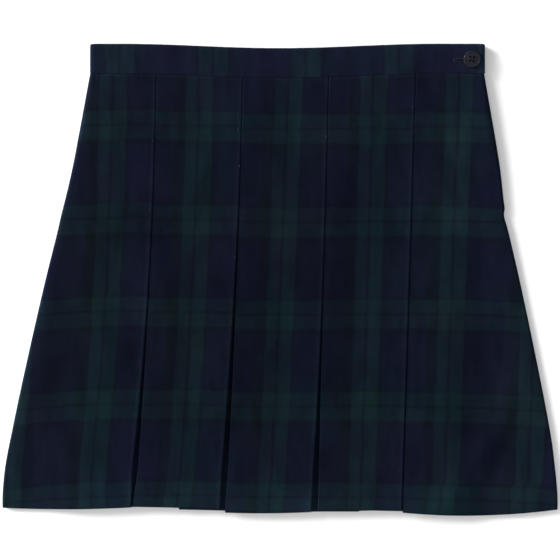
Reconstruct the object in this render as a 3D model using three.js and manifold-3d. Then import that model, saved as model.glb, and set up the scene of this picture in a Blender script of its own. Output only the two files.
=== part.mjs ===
// A box pleat skirt, buttoned at the side and laid flat on a table with its front upwards.
//
// Lengths are in millimetres. X runs across the skirt to the viewer's right, Y from the hem up to
// the waist, and Z up from the table. The origin is on the table, under the middle of the outline.
//
// The skirt is a flattened tube of two pleated panels. Each panel is one closed wall: a zigzag
// section across the skirt, with two outer folds meeting at every pleat line and a hidden underlay
// behind them, carried from the waist seam down to the hem. The waistband is a strip that starts at
// the button, runs round the whole waist and ends in a tongue under its own buttoned end.

import * as THREE from 'three';
import { mergeVertices } from 'three/addons/utils/BufferGeometryUtils.js';
import Module from 'manifold-3d';

const wasm = await Module();
wasm.setup();

// Cloth
const CLOTH = 1.0;                       // wall of the pleated cloth
const SEAM_GAP = 0.3;                    // between sewn pieces, and between layers that touch
const LAYER = CLOTH + SEAM_GAP;          // from one folded layer to the next
const PLEAT_DEPTH = 35;                  // how far each fold runs back under its box
const STITCHED_SHARE = 0.21;             // share of the length over which the folds are sewn shut
const WIDEST_SHARE = 0.9;                // where down the length the folds lie furthest apart
const PARTING_CURVE = 1.4;               // above 1, the folds part slowly at first

// Outline, seen from above
const WAIST_Y = 175;                     // waist seam at the two sides
const WAIST_LEFT = -161.6;
const WAIST_RIGHT = 173.8;
const WAIST_SAG = 3.7;                   // how far the waist dips at the middle
const WAIST_SAG_REACH = 135;             // half the width of that dip
const BAND_HEIGHT = 25.5;
const HEM_DROP = 375.4;                  // from the waist seam's level to the lowest point of the hem

// Heights above the table
const BACK_LEVEL = CLOTH / 2;                                  // middle of the back's outer layer
const BOX_LEVEL = BACK_LEVEL + 5 * LAYER;                      // middle of the front's outer layer
const SIDE_HALF_AT_WAIST = 3.6;          // half the height of the rounded side edge
const SIDE_HALF_BELOW = 2.1;
const SIDE_THINS_BY = 0.6;               // share of the length over which the edge thins
const SIDE_RAMP = 44;                    // how far the front slopes down beside the pleats' layers
const FRONT_SPRING = 0.25;               // how much further apart the front's layers lie at the hem
const RIDGES_START = 0.15;               // share of the length that the waist seam holds flat

// The side edges, at distances below the waist seam. The right edge steps out where the side
// opening ends, and both turn straight down over the stiffer hem.
const SIDE_EDGES = [
  { down: 0, left: WAIST_LEFT, right: WAIST_RIGHT },
  { down: 56, left: -171.7, right: 182.7 },
  { down: 82, left: -176.8, right: 187.0 },
  { down: 108, left: -182.9, right: 190.5 },
  { down: 115, left: -184.7, right: 191.4 },
  { down: 121, left: -186.2, right: 190.5 },
  { down: 133, left: -188.9, right: 193.9 },
  { down: 184, left: -201.4, right: 205.0 },
  { down: 260, left: -218.4, right: 220.8 },
  { down: 311, left: -228.7, right: 230.4 },
  { down: 337, left: -233.7, right: 233.9 },
  { down: 360, left: -236.2, right: 236.2 },
  { down: 371, left: -236.3, right: 236.3 },
];

// The pleat lines: where each lies at the waist, half way down and at the hem, and how far its two
// folds have parted at their widest and at the hem.
const FRONT_LINES = [
  { waist: -106.3, middle: -112.6, hem: -125.6, widest: 4.2, parted: 1.2 },
  { waist: -32.7, middle: -38.6, hem: -48.7, widest: 4.0, parted: 4.2 },
  { waist: 40.4, middle: 35.8, hem: 29.5, widest: 4.4, parted: 4.8 },
  { waist: 114.3, middle: 109.4, hem: 104.0, widest: 1.4, parted: 1.2 },
];
const BACK_LINES = [
  { waist: -107.5, middle: -110.0, hem: -116.5, widest: 2.4, parted: 2.8 },
  { waist: -34.0, middle: -36.2, hem: -41.0, widest: 3.0, parted: 1.8 },
  { waist: 39.5, middle: 38.0, hem: 35.0, widest: 2.6, parted: 3.2 },
  { waist: 113.0, middle: 111.8, hem: 110.5, widest: 2.0, parted: 2.2 },
];

// How far the hem of each flat strip between pleat lines hangs below the waist seam's level, at the
// strip's left edge, middle and right edge.
const FRONT_HEMS = [
  { left: 369.4, middle: 370.4, right: 368.8 },
  { left: 368.2, middle: 369.0, right: 369.8 },
  { left: 373.2, middle: 373.2, right: 372.6 },
  { left: 372.2, middle: 371.6, right: 370.8 },
  { left: 373.2, middle: HEM_DROP, right: 370.4 },
];
const BACK_HEMS = [
  { left: 368.6, middle: 368.4, right: 367.4 },
  { left: 367.0, middle: 367.2, right: 367.6 },
  { left: 369.6, middle: 369.8, right: 369.4 },
  { left: 369.0, middle: 368.8, right: 368.4 },
  { left: 369.6, middle: 371.6, right: 369.2 },
];

// Soft ridges that lift the front: where each is, how far it reaches along and across itself, the
// way it points, and its height.
const FRONT_RIDGES = [
  { x: 182, y: -128, along: 60, across: 15, degrees: 62, height: 2.2 },
  { x: 206, y: -168, along: 44, across: 12, degrees: 98, height: 1.2 },
  { x: -196, y: -130, along: 70, across: 17, degrees: 104, height: 1.7 },
  { x: -150, y: -50, along: 90, across: 22, degrees: 96, height: 0.5 },
  { x: -88, y: -150, along: 70, across: 22, degrees: 94, height: 0.5 },
  { x: -8, y: -140, along: 80, across: 24, degrees: 93, height: 0.6 },
  { x: 68, y: -120, along: 75, across: 22, degrees: 91, height: 0.5 },
  { x: 160, y: 60, along: 60, across: 14, degrees: 78, height: 0.8 },
];
const RIDGE_LOSS = 0.25;                 // of a ridge's height, at each layer further in

// Side opening and its zip
const OPENING_END_SHARE = 0.3;           // share of the length where the opening ends
const OPENING_CLOSES_BY = 0.325;
const OPENING_HALF_GAP = 0.8;            // half the gap between the two cloth edges over the zip
const ZIP_TAPE = 0.8;
const ZIP_ROWS = 7;
const ZIP_STEPS = 8;
const ZIP_TOP_SHARE = 0.001;
const ZIP_WRAP_DEGREES = 105;            // how far round the edge's inside each tape reaches

// Waistband
const BAND_WALL = 2.2;
const BAND_BACK_LEVEL = BAND_WALL / 2;
const BAND_TONGUE_LEVEL = 3.65;
const BAND_FRONT_LEVEL = 6.2;
const BAND_BACK_DROP = 0.8;              // the back's top edge hides just behind the front's
const TONGUE_LENGTH = 34;

// Button and buttonhole
const BUTTON_X = 163.2;
const BUTTON_Y = 187.8;
const BUTTON_RADIUS = 7;
const BUTTON_BASE = BAND_FRONT_LEVEL + BAND_WALL / 2 + SEAM_GAP;
const BUTTON_HOLLOW_HEIGHT = 0.9;        // of the hollow under the button
const BUTTON_DISH_HEIGHT = 1.7;          // of the dish on its top
const BUTTON_RIM_HEIGHT = 2.6;
const BUTTON_HOLE_RADIUS = 0.85;
const BUTTON_HOLE_OFFSET = 1.7;
const BUTTONHOLE_LEFT = 147.4;
const BUTTONHOLE_RIGHT = 165.2;
const BUTTONHOLE_WIDTH = 1.6;
const THREAD_RADIUS = 0.45;
const KNOT_RADIUS = 3.1;
const SHANK_WIDTH = 2.4;
const LOOP_THICKNESS = 0.5;

const lerp = THREE.MathUtils.lerp;
const smooth = THREE.MathUtils.smoothstep;
const radians = THREE.MathUtils.degToRad;

// Reads a column of a table at a value of its first column, along smooth curves between the rows.
function fromTable(rows, key, column, at) {
  const last = rows.length - 1;
  let i = 0;
  while (i < last - 1 && at > rows[i + 1][key]) i += 1;
  const [a, b] = [rows[i], rows[i + 1]];
  const slope = (j) => {
    const [before, after] = [rows[Math.max(j - 1, 0)], rows[Math.min(j + 1, last)]];
    return (after[column] - before[column]) / (after[key] - before[key]);
  };
  const span = b[key] - a[key];
  const s = THREE.MathUtils.clamp((at - a[key]) / span, 0, 1);
  const rise = b[column] - a[column];
  const bend = s * (1 - s) * ((slope(i) * span - rise) * (1 - s) + (rise - slope(i + 1) * span) * s);
  return a[column] + rise * s + bend;
}

// A curve through three values, at the start, middle and end of its way.
function throughThree(start, middle, end, share) {
  return start + (4 * middle - 3 * start - end) * share + (2 * start + 2 * end - 4 * middle) * share ** 2;
}

// How far the waist dips at x, a half wave of a cosine.
function waistSag(x) {
  const share = Math.min(Math.abs(x) / WAIST_SAG_REACH, 1);
  return (WAIST_SAG * (1 + Math.cos(Math.PI * share))) / 2;
}

// Half the height of the rounded side edge.
function sideHalf(share) {
  return lerp(SIDE_HALF_AT_WAIST, SIDE_HALF_BELOW, smooth(share, 0, SIDE_THINS_BY));
}

// The gap between the two folds of a pleat line.
function foldGap(line, share) {
  if (share >= WIDEST_SHARE) {
    return lerp(line.widest, line.parted, smooth(share, WIDEST_SHARE, 1));
  }
  const opened = Math.max(share - STITCHED_SHARE, 0) / (WIDEST_SHARE - STITCHED_SHARE);
  return lerp(SEAM_GAP, line.widest, opened ** PARTING_CURVE);
}

// The lift of the soft ridges at a point: each is a bell across itself and along itself.
function ridgeLift(ridges, x, y) {
  let lift = 0;
  for (const ridge of ridges) {
    const turn = radians(ridge.degrees);
    const [dx, dy] = [x - ridge.x, y - ridge.y];
    const along = (dx * Math.cos(turn) + dy * Math.sin(turn)) / ridge.along;
    const across = (dy * Math.cos(turn) - dx * Math.sin(turn)) / ridge.across;
    lift += ridge.height * Math.exp(-(along ** 2) - across ** 2);
  }
  return lift;
}

// A closed wall from rows of stations. A station has its middle point, the way out of the garment
// and half the wall there. Outer and inner faces, both edges and both ends are closed.
function wallGeometry(rows) {
  const count = rows[0].length;
  const positions = [];
  for (const row of rows) {
    for (const side of [1, -1]) {
      for (const s of row) {
        positions.push(s.x + side * s.nx * s.half, s.y, s.z + side * s.nz * s.half);
      }
    }
  }
  const at = (row, face, i) => (row * 2 + face) * count + i;
  const index = [];
  const quad = (a, b, c, d) => index.push(a, b, c, a, c, d);
  for (let r = 0; r + 1 < rows.length; r += 1) {
    for (let i = 0; i + 1 < count; i += 1) {
      quad(at(r, 0, i), at(r + 1, 0, i), at(r + 1, 0, i + 1), at(r, 0, i + 1));
      quad(at(r, 1, i), at(r, 1, i + 1), at(r + 1, 1, i + 1), at(r + 1, 1, i));
    }
    quad(at(r, 0, 0), at(r, 1, 0), at(r + 1, 1, 0), at(r + 1, 0, 0));
    quad(at(r, 0, count - 1), at(r + 1, 0, count - 1), at(r + 1, 1, count - 1), at(r, 1, count - 1));
  }
  const end = rows.length - 1;
  for (let i = 0; i + 1 < count; i += 1) {
    quad(at(0, 0, i), at(0, 0, i + 1), at(0, 1, i + 1), at(0, 1, i));
    quad(at(end, 0, i), at(end, 1, i), at(end, 1, i + 1), at(end, 0, i + 1));
  }
  const geometry = new THREE.BufferGeometry();
  geometry.setAttribute('position', new THREE.Float32BufferAttribute(positions, 3));
  geometry.setIndex(index);
  return facingOut(geometry);
}

// Turns every triangle over if the faces point into the solid.
function facingOut(geometry) {
  const p = geometry.getAttribute('position');
  const index = Array.from(geometry.index.array);
  const [a, b, c] = [new THREE.Vector3(), new THREE.Vector3(), new THREE.Vector3()];
  let volume = 0;
  for (let i = 0; i < index.length; i += 3) {
    a.fromBufferAttribute(p, index[i]);
    b.fromBufferAttribute(p, index[i + 1]);
    c.fromBufferAttribute(p, index[i + 2]);
    volume += a.dot(b.cross(c));
  }
  if (volume < 0) {
    for (let i = 0; i < index.length; i += 3) {
      [index[i + 1], index[i + 2]] = [index[i + 2], index[i + 1]];
    }
    geometry.setIndex(index);
  }
  return geometry;
}

function toManifold(geometry) {
  const bare = geometry.clone();
  bare.deleteAttribute('normal');
  bare.deleteAttribute('uv');
  const merged = mergeVertices(bare, 1e-4);
  return new wasm.Manifold(new wasm.Mesh({
    numProp: 3,
    vertProperties: new Float32Array(merged.getAttribute('position').array),
    triVerts: new Uint32Array(merged.index.array),
  }));
}

function fromManifold(solid) {
  const mesh = solid.getMesh();
  const geometry = new THREE.BufferGeometry();
  geometry.setAttribute('position', new THREE.Float32BufferAttribute(mesh.vertProperties, 3));
  geometry.setIndex(Array.from(mesh.triVerts));
  return geometry;
}

// What sets the two panels apart: facing is 1 for the front and -1 for the back, whose outer layer
// lies flat on the table.
const FRONT = {
  facing: 1,
  lines: FRONT_LINES,
  hems: FRONT_HEMS,
  level: BOX_LEVEL,
  spring: FRONT_SPRING,
  ridges: FRONT_RIDGES,
};
const BACK = {
  facing: -1,
  lines: BACK_LINES,
  hems: BACK_HEMS,
  level: BACK_LEVEL,
  spring: 0,
  ridges: [],
};

const CURL_STEPS = 3;
const OUTER_FOLD_STEPS = 3;
const INNER_FOLD_STEPS = 2;
const SIDE_STRIP_STEPS = 10;
const BOX_STEPS = 4;

// The section of a panel across the skirt, from its left seam to its right seam, at a share of the
// way from the waist seam to the hem.
function panelSection(panel, share) {
  const { facing, lines, hems } = panel;
  const half = sideHalf(share);
  const curl = half - CLOTH / 2;
  const down = share * SIDE_EDGES.at(-1).down;
  const left = fromTable(SIDE_EDGES, 'down', 'left', down);
  const right = fromTable(SIDE_EDGES, 'down', 'right', down);
  const opening = 1 - smooth(share, OPENING_END_SHARE, OPENING_CLOSES_BY);
  const middleY = WAIST_Y - down;
  const sprung = panel.spring * smooth(share, STITCHED_SHARE, 1);
  const layer = LAYER + sprung;
  const foldRadius = layer / 2;                      // of the cloth's middle round a fold
  const foldOutside = foldRadius + CLOTH / 2;

  const folds = lines.map((line) => {
    const at = throughThree(line.waist, line.middle, line.hem, share);
    const gap = foldGap(line, share);
    return { left: at - gap / 2, right: at + gap / 2 };
  });
  const innerLeft = folds[0].left - PLEAT_DEPTH;
  const innerRight = folds.at(-1).right + PLEAT_DEPTH;

  // The outer layer rises from the rounded side edge to the level of the boxes.
  const rampLeft = Math.max(left + half, innerLeft - SIDE_RAMP);
  const rampRight = Math.min(right - half, innerRight + SIDE_RAMP);
  const belowWaist = smooth(share, 0, RIDGES_START);
  const level = (x, inward) => {
    const inside = smooth(x, rampLeft, innerLeft) * (1 - smooth(x, innerRight, rampRight));
    const offLeft = smooth(x, left + half, left + SIDE_RAMP);
    const offRight = 1 - smooth(x, right - SIDE_RAMP, right - half);
    const lift = ridgeLift(panel.ridges, x, middleY) * (1 - (RIDGE_LOSS * inward) / layer);
    const outer = lerp(half + facing * curl, panel.level + 2 * sprung, inside);
    return outer - facing * inward + belowWaist * offLeft * offRight * lift;
  };

  const stations = [];
  const add = (x, z, nx, nz, hem) => stations.push({ x, z, nx, nz: nz * facing, hem, half: CLOTH / 2 });
  const flat = (x, inward, hem) => {
    const slope = facing * (level(x + 0.5, inward) - level(x - 0.5, inward));
    const length = Math.hypot(slope, 1);
    add(x, level(x, inward), -slope / length, 1 / length, hem);
  };
  const fold = (centreX, inward, from, to, steps, hem) => {
    for (let i = 0; i <= steps; i += 1) {
      const turn = radians(lerp(from, to, i / steps));
      const [c, s] = [Math.cos(turn), Math.sin(turn)];
      const out = from > to ? 1 : -1;
      add(centreX + foldRadius * c, level(centreX, inward) + facing * foldRadius * s, c * out, s * out, hem);
    }
  };
  const sideCurl = (edge, way, gap, hem, climbing) => {
    const first = THREE.MathUtils.radToDeg(Math.asin(gap / curl));
    for (let i = 0; i <= CURL_STEPS; i += 1) {
      const part = climbing ? i / CURL_STEPS : 1 - i / CURL_STEPS;
      const turn = radians(lerp(first, 90, part));
      const [c, s] = [Math.cos(turn), Math.sin(turn)];
      add(edge - way * (half - curl * c), half + facing * curl * s, way * c, s, hem);
    }
  };

  sideCurl(left, -1, SEAM_GAP / 2, hems[0].left, true);
  for (let k = 0; k < hems.length; k += 1) {
    const hem = hems[k];
    const isFirst = k === 0;
    const isLast = k === hems.length - 1;
    const from = isFirst ? left + half : folds[k - 1].right + foldOutside;
    const to = isLast ? right - half : folds[k].left - foldOutside;
    const steps = isFirst || isLast ? SIDE_STRIP_STEPS : BOX_STEPS;
    for (let i = 1; i < steps; i += 1) {
      const part = i / steps;
      flat(lerp(from, to, part), 0, throughThree(hem.left, hem.middle, hem.right, part));
    }
    if (isLast) break;
    // Round the outer fold, back under the box, round the inner fold and along the underlay, and
    // the same on the other side of the pleat line. The folds beside a line part where it opens.
    const [a, b] = [folds[k].left, folds[k].right];
    const under = (part) => lerp(hem.right, hems[k + 1].left, part);
    fold(a - foldOutside, foldRadius, 90, -90, OUTER_FOLD_STEPS, hem.right);
    fold(a - PLEAT_DEPTH + foldOutside, foldRadius + layer, 90, 270, INNER_FOLD_STEPS, under(0.25));
    flat((a + b) / 2, 2 * layer, under(0.5));
    fold(b + PLEAT_DEPTH - foldOutside, foldRadius + layer, -90, 90, INNER_FOLD_STEPS, under(0.75));
    fold(b + foldOutside, foldRadius, 270, 90, OUTER_FOLD_STEPS, hems[k + 1].left);
  }
  sideCurl(right, 1, lerp(SEAM_GAP / 2, OPENING_HALF_GAP, opening), hems.at(-1).right, false);
  return stations;
}

const PANEL_ROWS = [0, 0.1, 0.21, 0.3, 0.311, 0.326, 0.45, 0.6, 0.75, 0.86, 0.94, 1];

function panelGeometry(panel) {
  const waist = panelSection(panel, 0);
  const rows = PANEL_ROWS.map((share) => panelSection(panel, share).map((station, i) => {
    const top = WAIST_Y - waistSag(waist[i].x) - SEAM_GAP / 2;
    return { ...station, y: lerp(top, WAIST_Y - station.hem, share) };
  }));
  return wallGeometry(rows);
}

// The waistband's section, from its buttoned end along the front, round the left side, along the
// back and round the right side into the tongue that the button is sewn to.
function bandPath() {
  const path = [];
  const add = (x, z, nx, nz, onBack) => path.push({ x, z, nx, nz, onBack });
  const straight = (from, to, z, nz, steps, onBack) => {
    for (let i = 0; i <= steps; i += 1) add(lerp(from, to, i / steps), z, 0, nz, onBack);
  };
  const turn = (centreX, centreZ, radius, from, to, steps) => {
    for (let i = 1; i < steps; i += 1) {
      const part = i / steps;
      const angle = radians(lerp(from, to, part));
      const [c, s] = [Math.cos(angle), Math.sin(angle)];
      add(centreX + radius * c, centreZ + radius * s, c, s, from < to && from > 0 ? part : 1);
    }
  };
  const leftRadius = (BAND_FRONT_LEVEL - BAND_BACK_LEVEL) / 2;
  const leftCentre = WAIST_LEFT + leftRadius + BAND_WALL / 2;
  const rightRadius = (BAND_TONGUE_LEVEL - BAND_BACK_LEVEL) / 2;
  const rightCentre = WAIST_RIGHT - SEAM_GAP - rightRadius - BAND_WALL / 2;
  straight(WAIST_RIGHT, leftCentre, BAND_FRONT_LEVEL, 1, 16, 0);
  turn(leftCentre, BAND_BACK_LEVEL + leftRadius, leftRadius, 90, 270, 6);
  straight(leftCentre, rightCentre, BAND_BACK_LEVEL, -1, 14, 1);
  turn(rightCentre, BAND_BACK_LEVEL + rightRadius, rightRadius, -90, 90, 5);
  straight(rightCentre, WAIST_RIGHT - TONGUE_LENGTH, BAND_TONGUE_LEVEL, 1, 3, 1);
  return path;
}

// The band's edges are rounded: each row has a share of its height and of its wall.
const BAND_ROWS = [
  { up: 0, wall: 0.8 },
  { up: 0.03, wall: 1 },
  { up: 0.95, wall: 1 },
  { up: 0.988, wall: 0.75 },
  { up: 1, wall: 0.35 },
];

function waistbandGeometry() {
  const path = bandPath();
  const rows = BAND_ROWS.map((row) => path.map((point) => {
    const bottom = WAIST_Y - waistSag(point.x) + SEAM_GAP / 2;
    const height = BAND_HEIGHT - SEAM_GAP / 2 - BAND_BACK_DROP * point.onBack;
    return { ...point, y: bottom + row.up * height, half: (row.wall * BAND_WALL) / 2 };
  }));
  const band = toManifold(wallGeometry(rows));
  const buttonhole = toManifold(slotGeometry());
  return fromManifold(band.subtract(buttonhole));
}

// The buttonhole: a slot with round ends, cut through the band's front layer alone.
function slotGeometry() {
  const radius = BUTTONHOLE_WIDTH / 2;
  const shape = new THREE.Shape();
  shape.absarc(BUTTONHOLE_RIGHT - radius, BUTTON_Y, radius, -Math.PI / 2, Math.PI / 2);
  shape.absarc(BUTTONHOLE_LEFT + radius, BUTTON_Y, radius, Math.PI / 2, (3 * Math.PI) / 2);
  const bottom = (BAND_FRONT_LEVEL + BAND_TONGUE_LEVEL) / 2;
  const depth = BAND_FRONT_LEVEL + BAND_WALL - bottom;
  const geometry = new THREE.ExtrudeGeometry(shape, { depth, bevelEnabled: false, curveSegments: 4 });
  return geometry.translate(0, 0, bottom);
}

// The zip: two tapes that meet behind the gap in the side opening and follow the inside of its
// rounded edge, as one curved strip.
function zipGeometry() {
  const rows = [];
  for (let r = 0; r <= ZIP_ROWS; r += 1) {
    const share = lerp(ZIP_TOP_SHARE, OPENING_END_SHARE, r / ZIP_ROWS);
    const half = sideHalf(share);
    const down = share * SIDE_EDGES.at(-1).down;
    const centreX = fromTable(SIDE_EDGES, 'down', 'right', down) - half;
    const radius = half - CLOTH - SEAM_GAP - ZIP_TAPE / 2;
    const y = WAIST_Y - SEAM_GAP / 2 - share * FRONT_HEMS.at(-1).right;
    const row = [];
    for (let i = 0; i <= ZIP_STEPS; i += 1) {
      const turn = radians(lerp(ZIP_WRAP_DEGREES, -ZIP_WRAP_DEGREES, i / ZIP_STEPS));
      const [c, s] = [Math.cos(turn), Math.sin(turn)];
      row.push({ x: centreX + radius * c, y, z: half + radius * s, nx: c, nz: s, half: ZIP_TAPE / 2 });
    }
    rows.push(row);
  }
  return wallGeometry(rows);
}

// The zip's slider, closed at the top: a body on the inside of the tapes with its tab laid down it.
const SLIDER = {
  width: 2.0,
  thickness: 1.2,
  length: 7,
  tabLength: 15,
  tabThickness: 0.7,
  tabWidth: 1.4,
  tabDown: 1,
  tabSunk: 0.1,                          // how deep the tab's hinge reaches into the body
  topDown: 4,
  fromCentre: 0.6,                       // its outer face, from the middle of the rounded side edge
};

function sliderGeometry() {
  const share = SLIDER.topDown / SIDE_EDGES.at(-1).down;
  const half = sideHalf(share);
  const outer = fromTable(SIDE_EDGES, 'down', 'right', SLIDER.topDown) - half + SLIDER.fromCentre;
  const top = WAIST_Y - SLIDER.topDown;
  const body = new THREE.BoxGeometry(SLIDER.thickness, SLIDER.length, SLIDER.width);
  body.translate(outer - SLIDER.thickness / 2, top - SLIDER.length / 2, half);
  const tab = new THREE.BoxGeometry(SLIDER.tabThickness, SLIDER.tabLength, SLIDER.tabWidth);
  const tabX = outer - SLIDER.thickness - SLIDER.tabThickness / 2 + SLIDER.tabSunk;
  tab.translate(tabX, top - SLIDER.tabDown - SLIDER.tabLength / 2, half);
  return fromManifold(toManifold(body).add(toManifold(tab)));
}

// The button: a turned disc with a rim, a dished top and a hollow underside, and four holes.
function buttonGeometry() {
  const r = BUTTON_RADIUS;
  const profile = [
    [0, BUTTON_HOLLOW_HEIGHT],
    [0.62 * r, BUTTON_HOLLOW_HEIGHT],
    [0.7 * r, 0],
    [0.88 * r, 0],
    [0.97 * r, 0.5],
    [r, 1.2],
    [0.97 * r, 2.1],
    [0.88 * r, BUTTON_RIM_HEIGHT],
    [0.76 * r, BUTTON_RIM_HEIGHT - 0.05],
    [0.64 * r, BUTTON_DISH_HEIGHT + 0.1],
    [0.5 * r, BUTTON_DISH_HEIGHT],
    [0, BUTTON_DISH_HEIGHT],
  ].map(([x, y]) => new THREE.Vector2(x, y));
  const disc = new THREE.LatheGeometry(profile, 30).rotateX(Math.PI / 2);
  let button = toManifold(facingOut(mergeVertices(withoutExtras(disc), 1e-4)));
  for (const [x, y] of buttonHoles()) {
    const hole = new THREE.CylinderGeometry(BUTTON_HOLE_RADIUS, BUTTON_HOLE_RADIUS, 8, 10);
    button = button.subtract(toManifold(hole.rotateX(Math.PI / 2).translate(x, y, 0)));
  }
  return fromManifold(button);
}

function withoutExtras(geometry) {
  geometry.deleteAttribute('normal');
  geometry.deleteAttribute('uv');
  return geometry;
}

// The centres of the button's four holes, from its own centre.
function buttonHoles() {
  const o = BUTTON_HOLE_OFFSET;
  return [[-o, -o], [o, -o], [-o, o], [o, o]];
}

// The thread that holds the button: four strands up through its holes, joined in pairs across its
// top and in a flat knot under it, and a shank down through the buttonhole to the tongue.
function threadGeometry() {
  const knotTop = BUTTON_HOLLOW_HEIGHT - SEAM_GAP;
  const loopBottom = BUTTON_DISH_HEIGHT + SEAM_GAP;
  const tongueTop = BAND_TONGUE_LEVEL + BAND_WALL / 2 + SEAM_GAP - BUTTON_BASE;
  const upright = (radius, from, to, sides) => new THREE.CylinderGeometry(radius, radius, to - from, sides)
    .rotateX(Math.PI / 2)
    .translate(0, 0, (from + to) / 2);
  const block = (width, depth, from, to) => new THREE.BoxGeometry(width, depth, to - from)
    .translate(0, 0, (from + to) / 2);
  let thread = toManifold(upright(KNOT_RADIUS, 0, knotTop, 16));
  thread = thread.add(toManifold(block(SHANK_WIDTH, 2 * THREAD_RADIUS, tongueTop, knotTop / 2)));
  for (const [x, y] of buttonHoles()) {
    const strand = upright(THREAD_RADIUS, knotTop / 2, loopBottom + LOOP_THICKNESS / 2, 8);
    thread = thread.add(toManifold(strand.translate(x, y, 0)));
  }
  for (const y of [-BUTTON_HOLE_OFFSET, BUTTON_HOLE_OFFSET]) {
    const length = 2 * (BUTTON_HOLE_OFFSET + THREAD_RADIUS);
    const loop = block(length, 2 * THREAD_RADIUS, loopBottom, loopBottom + LOOP_THICKNESS);
    thread = thread.add(toManifold(loop.translate(0, y, 0)));
  }
  return fromManifold(thread);
}

const COLOURS = {
  cloth: 0x161b30,
  band: 0x171c33,
  button: 0x2b2724,
  thread: 0x1a1a20,
  tape: 0x10131f,
  slider: 0x3a3b40,
};

function named(name, geometry, colour, roughness, metalness = 0) {
  const material = new THREE.MeshStandardMaterial({ color: colour, roughness, metalness });
  const mesh = new THREE.Mesh(geometry, material);
  mesh.name = name;
  return mesh;
}

const skirt = new THREE.Group();
skirt.name = 'box_pleat_skirt';
skirt.add(named('front_panel', panelGeometry(FRONT), COLOURS.cloth, 0.85));
skirt.add(named('back_panel', panelGeometry(BACK), COLOURS.cloth, 0.85));
skirt.add(named('waistband', waistbandGeometry(), COLOURS.band, 0.85));
skirt.add(named('side_zip', zipGeometry(), COLOURS.tape, 0.8));
skirt.add(named('zip_slider', sliderGeometry(), COLOURS.slider, 0.35, 0.8));

const fastening = new THREE.Group();
fastening.position.set(BUTTON_X, BUTTON_Y, BUTTON_BASE);
fastening.add(named('button', buttonGeometry(), COLOURS.button, 0.35));
fastening.add(named('button_thread', threadGeometry(), COLOURS.thread, 0.9));
skirt.add(fastening);

export default skirt;
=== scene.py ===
"""A box pleat skirt in navy and green tartan, laid flat and seen from straight above.

The front and the back are each one pleated cloth with its hem turned up, the waistband is a strip
folded over lengthways, and the opening at the viewer's right has a zip, a button and a buttonhole.

Shapes are worked out in millimetres, in the frame of the solids: X across the skirt to the
viewer's right, Y from the hem up to the waist, Z up from the table. The lengths that the panel in
the sidebar shows are in metres, as Blender keeps them.
"""
import math

import bpy
import numpy as np
from bpy.props import FloatProperty, FloatVectorProperty, IntProperty, PointerProperty
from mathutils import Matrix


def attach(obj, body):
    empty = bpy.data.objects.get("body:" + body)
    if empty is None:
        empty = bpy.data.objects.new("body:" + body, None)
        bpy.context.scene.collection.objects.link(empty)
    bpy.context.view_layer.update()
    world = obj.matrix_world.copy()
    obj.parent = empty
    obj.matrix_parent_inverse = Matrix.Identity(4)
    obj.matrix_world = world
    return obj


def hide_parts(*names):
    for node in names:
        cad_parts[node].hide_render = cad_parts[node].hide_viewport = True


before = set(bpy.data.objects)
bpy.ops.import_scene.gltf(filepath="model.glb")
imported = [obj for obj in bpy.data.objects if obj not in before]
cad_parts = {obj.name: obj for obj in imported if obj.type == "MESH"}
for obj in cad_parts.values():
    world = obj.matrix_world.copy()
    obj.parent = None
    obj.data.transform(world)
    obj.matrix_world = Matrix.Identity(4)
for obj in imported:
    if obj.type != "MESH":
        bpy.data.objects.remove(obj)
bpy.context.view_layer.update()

bl_info = {
    "name": "Box pleat skirt",
    "version": (1, 0, 0),
    "blender": (4, 5, 0),
    "location": "View3D > Sidebar > Skirt",
    "description": "Builds a tartan box pleat skirt laid flat, piece by piece",
    "category": "Add Mesh",
}

MM = 0.001
UV_UNIT = 100.0                 # millimetres of cloth to one unit of the cloth's UV map

# Cloth
WALL = 1.0                      # wall of the solids, which the ply and its turned hem share
SEAM_GAP = 0.3
LAYER = WALL + SEAM_GAP
PLEAT_DEPTH = 35.0
PLEAT_SHUT = 0.015              # between two folds that are sewn against each other
STITCHED_SHARE = 0.21           # share of the length over which the folds are sewn shut
WIDEST_SHARE = 0.9

# Outline
WAIST_Y = 175.0
WAIST_LEFT = -161.6
WAIST_RIGHT = 173.8
BAND_RIGHT = 174.2              # the buttoned end of the waistband
WAIST_SAG = 3.7
WAIST_SAG_REACH = 135.0
BAND_HEIGHT = 25.5
BACK_LEVEL = WALL / 2
BOX_LEVEL = BACK_LEVEL + 5 * LAYER
SIDE_HALF_AT_WAIST = 3.6
SIDE_HALF_BELOW = 2.1
SIDE_THINS_BY = 0.6
SIDE_RAMP = 44.0
FRONT_SPRING = 0.25
RIDGES_START = 0.15
LENGTH = 371.0                  # from the waist seam down to the hem at the sides

# Where the sides are, left and right, at distances down from the waist seam
SIDE_EDGES = (
    (0, WAIST_LEFT, WAIST_RIGHT),
    (56, -171.9, 183.5),
    (82, -176.9, 187.6),
    (108, -182.9, 190.5),
    (115, -184.7, 191.4),
    (121, -186.2, 190.5),
    (133, -188.9, 193.9),
    (184, -201.4, 205.6),
    (260, -218.5, 221.3),
    (311, -229.1, 230.8),
    (337, -234.0, 234.1),
    (360, -236.2, 236.2),
    (LENGTH, -236.3, 236.3),
)
FRONT_LINES = (
    {"waist": -105.1, "middle": -111.65, "hem": -125.9, "widest": 4.6, "parted": 1.3, "curve": 2.7},
    {"waist": -31.6, "middle": -37.95, "hem": -48.9, "widest": 4.8, "parted": 4.2, "curve": 1.55},
    {"waist": 41.5, "middle": 36.45, "hem": 29.5, "widest": 4.6, "parted": 5.2, "curve": 2.9},
    {"waist": 115.5, "middle": 109.8, "hem": 104.0, "widest": 0.5, "parted": 0.5, "curve": 1.4},
)
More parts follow.
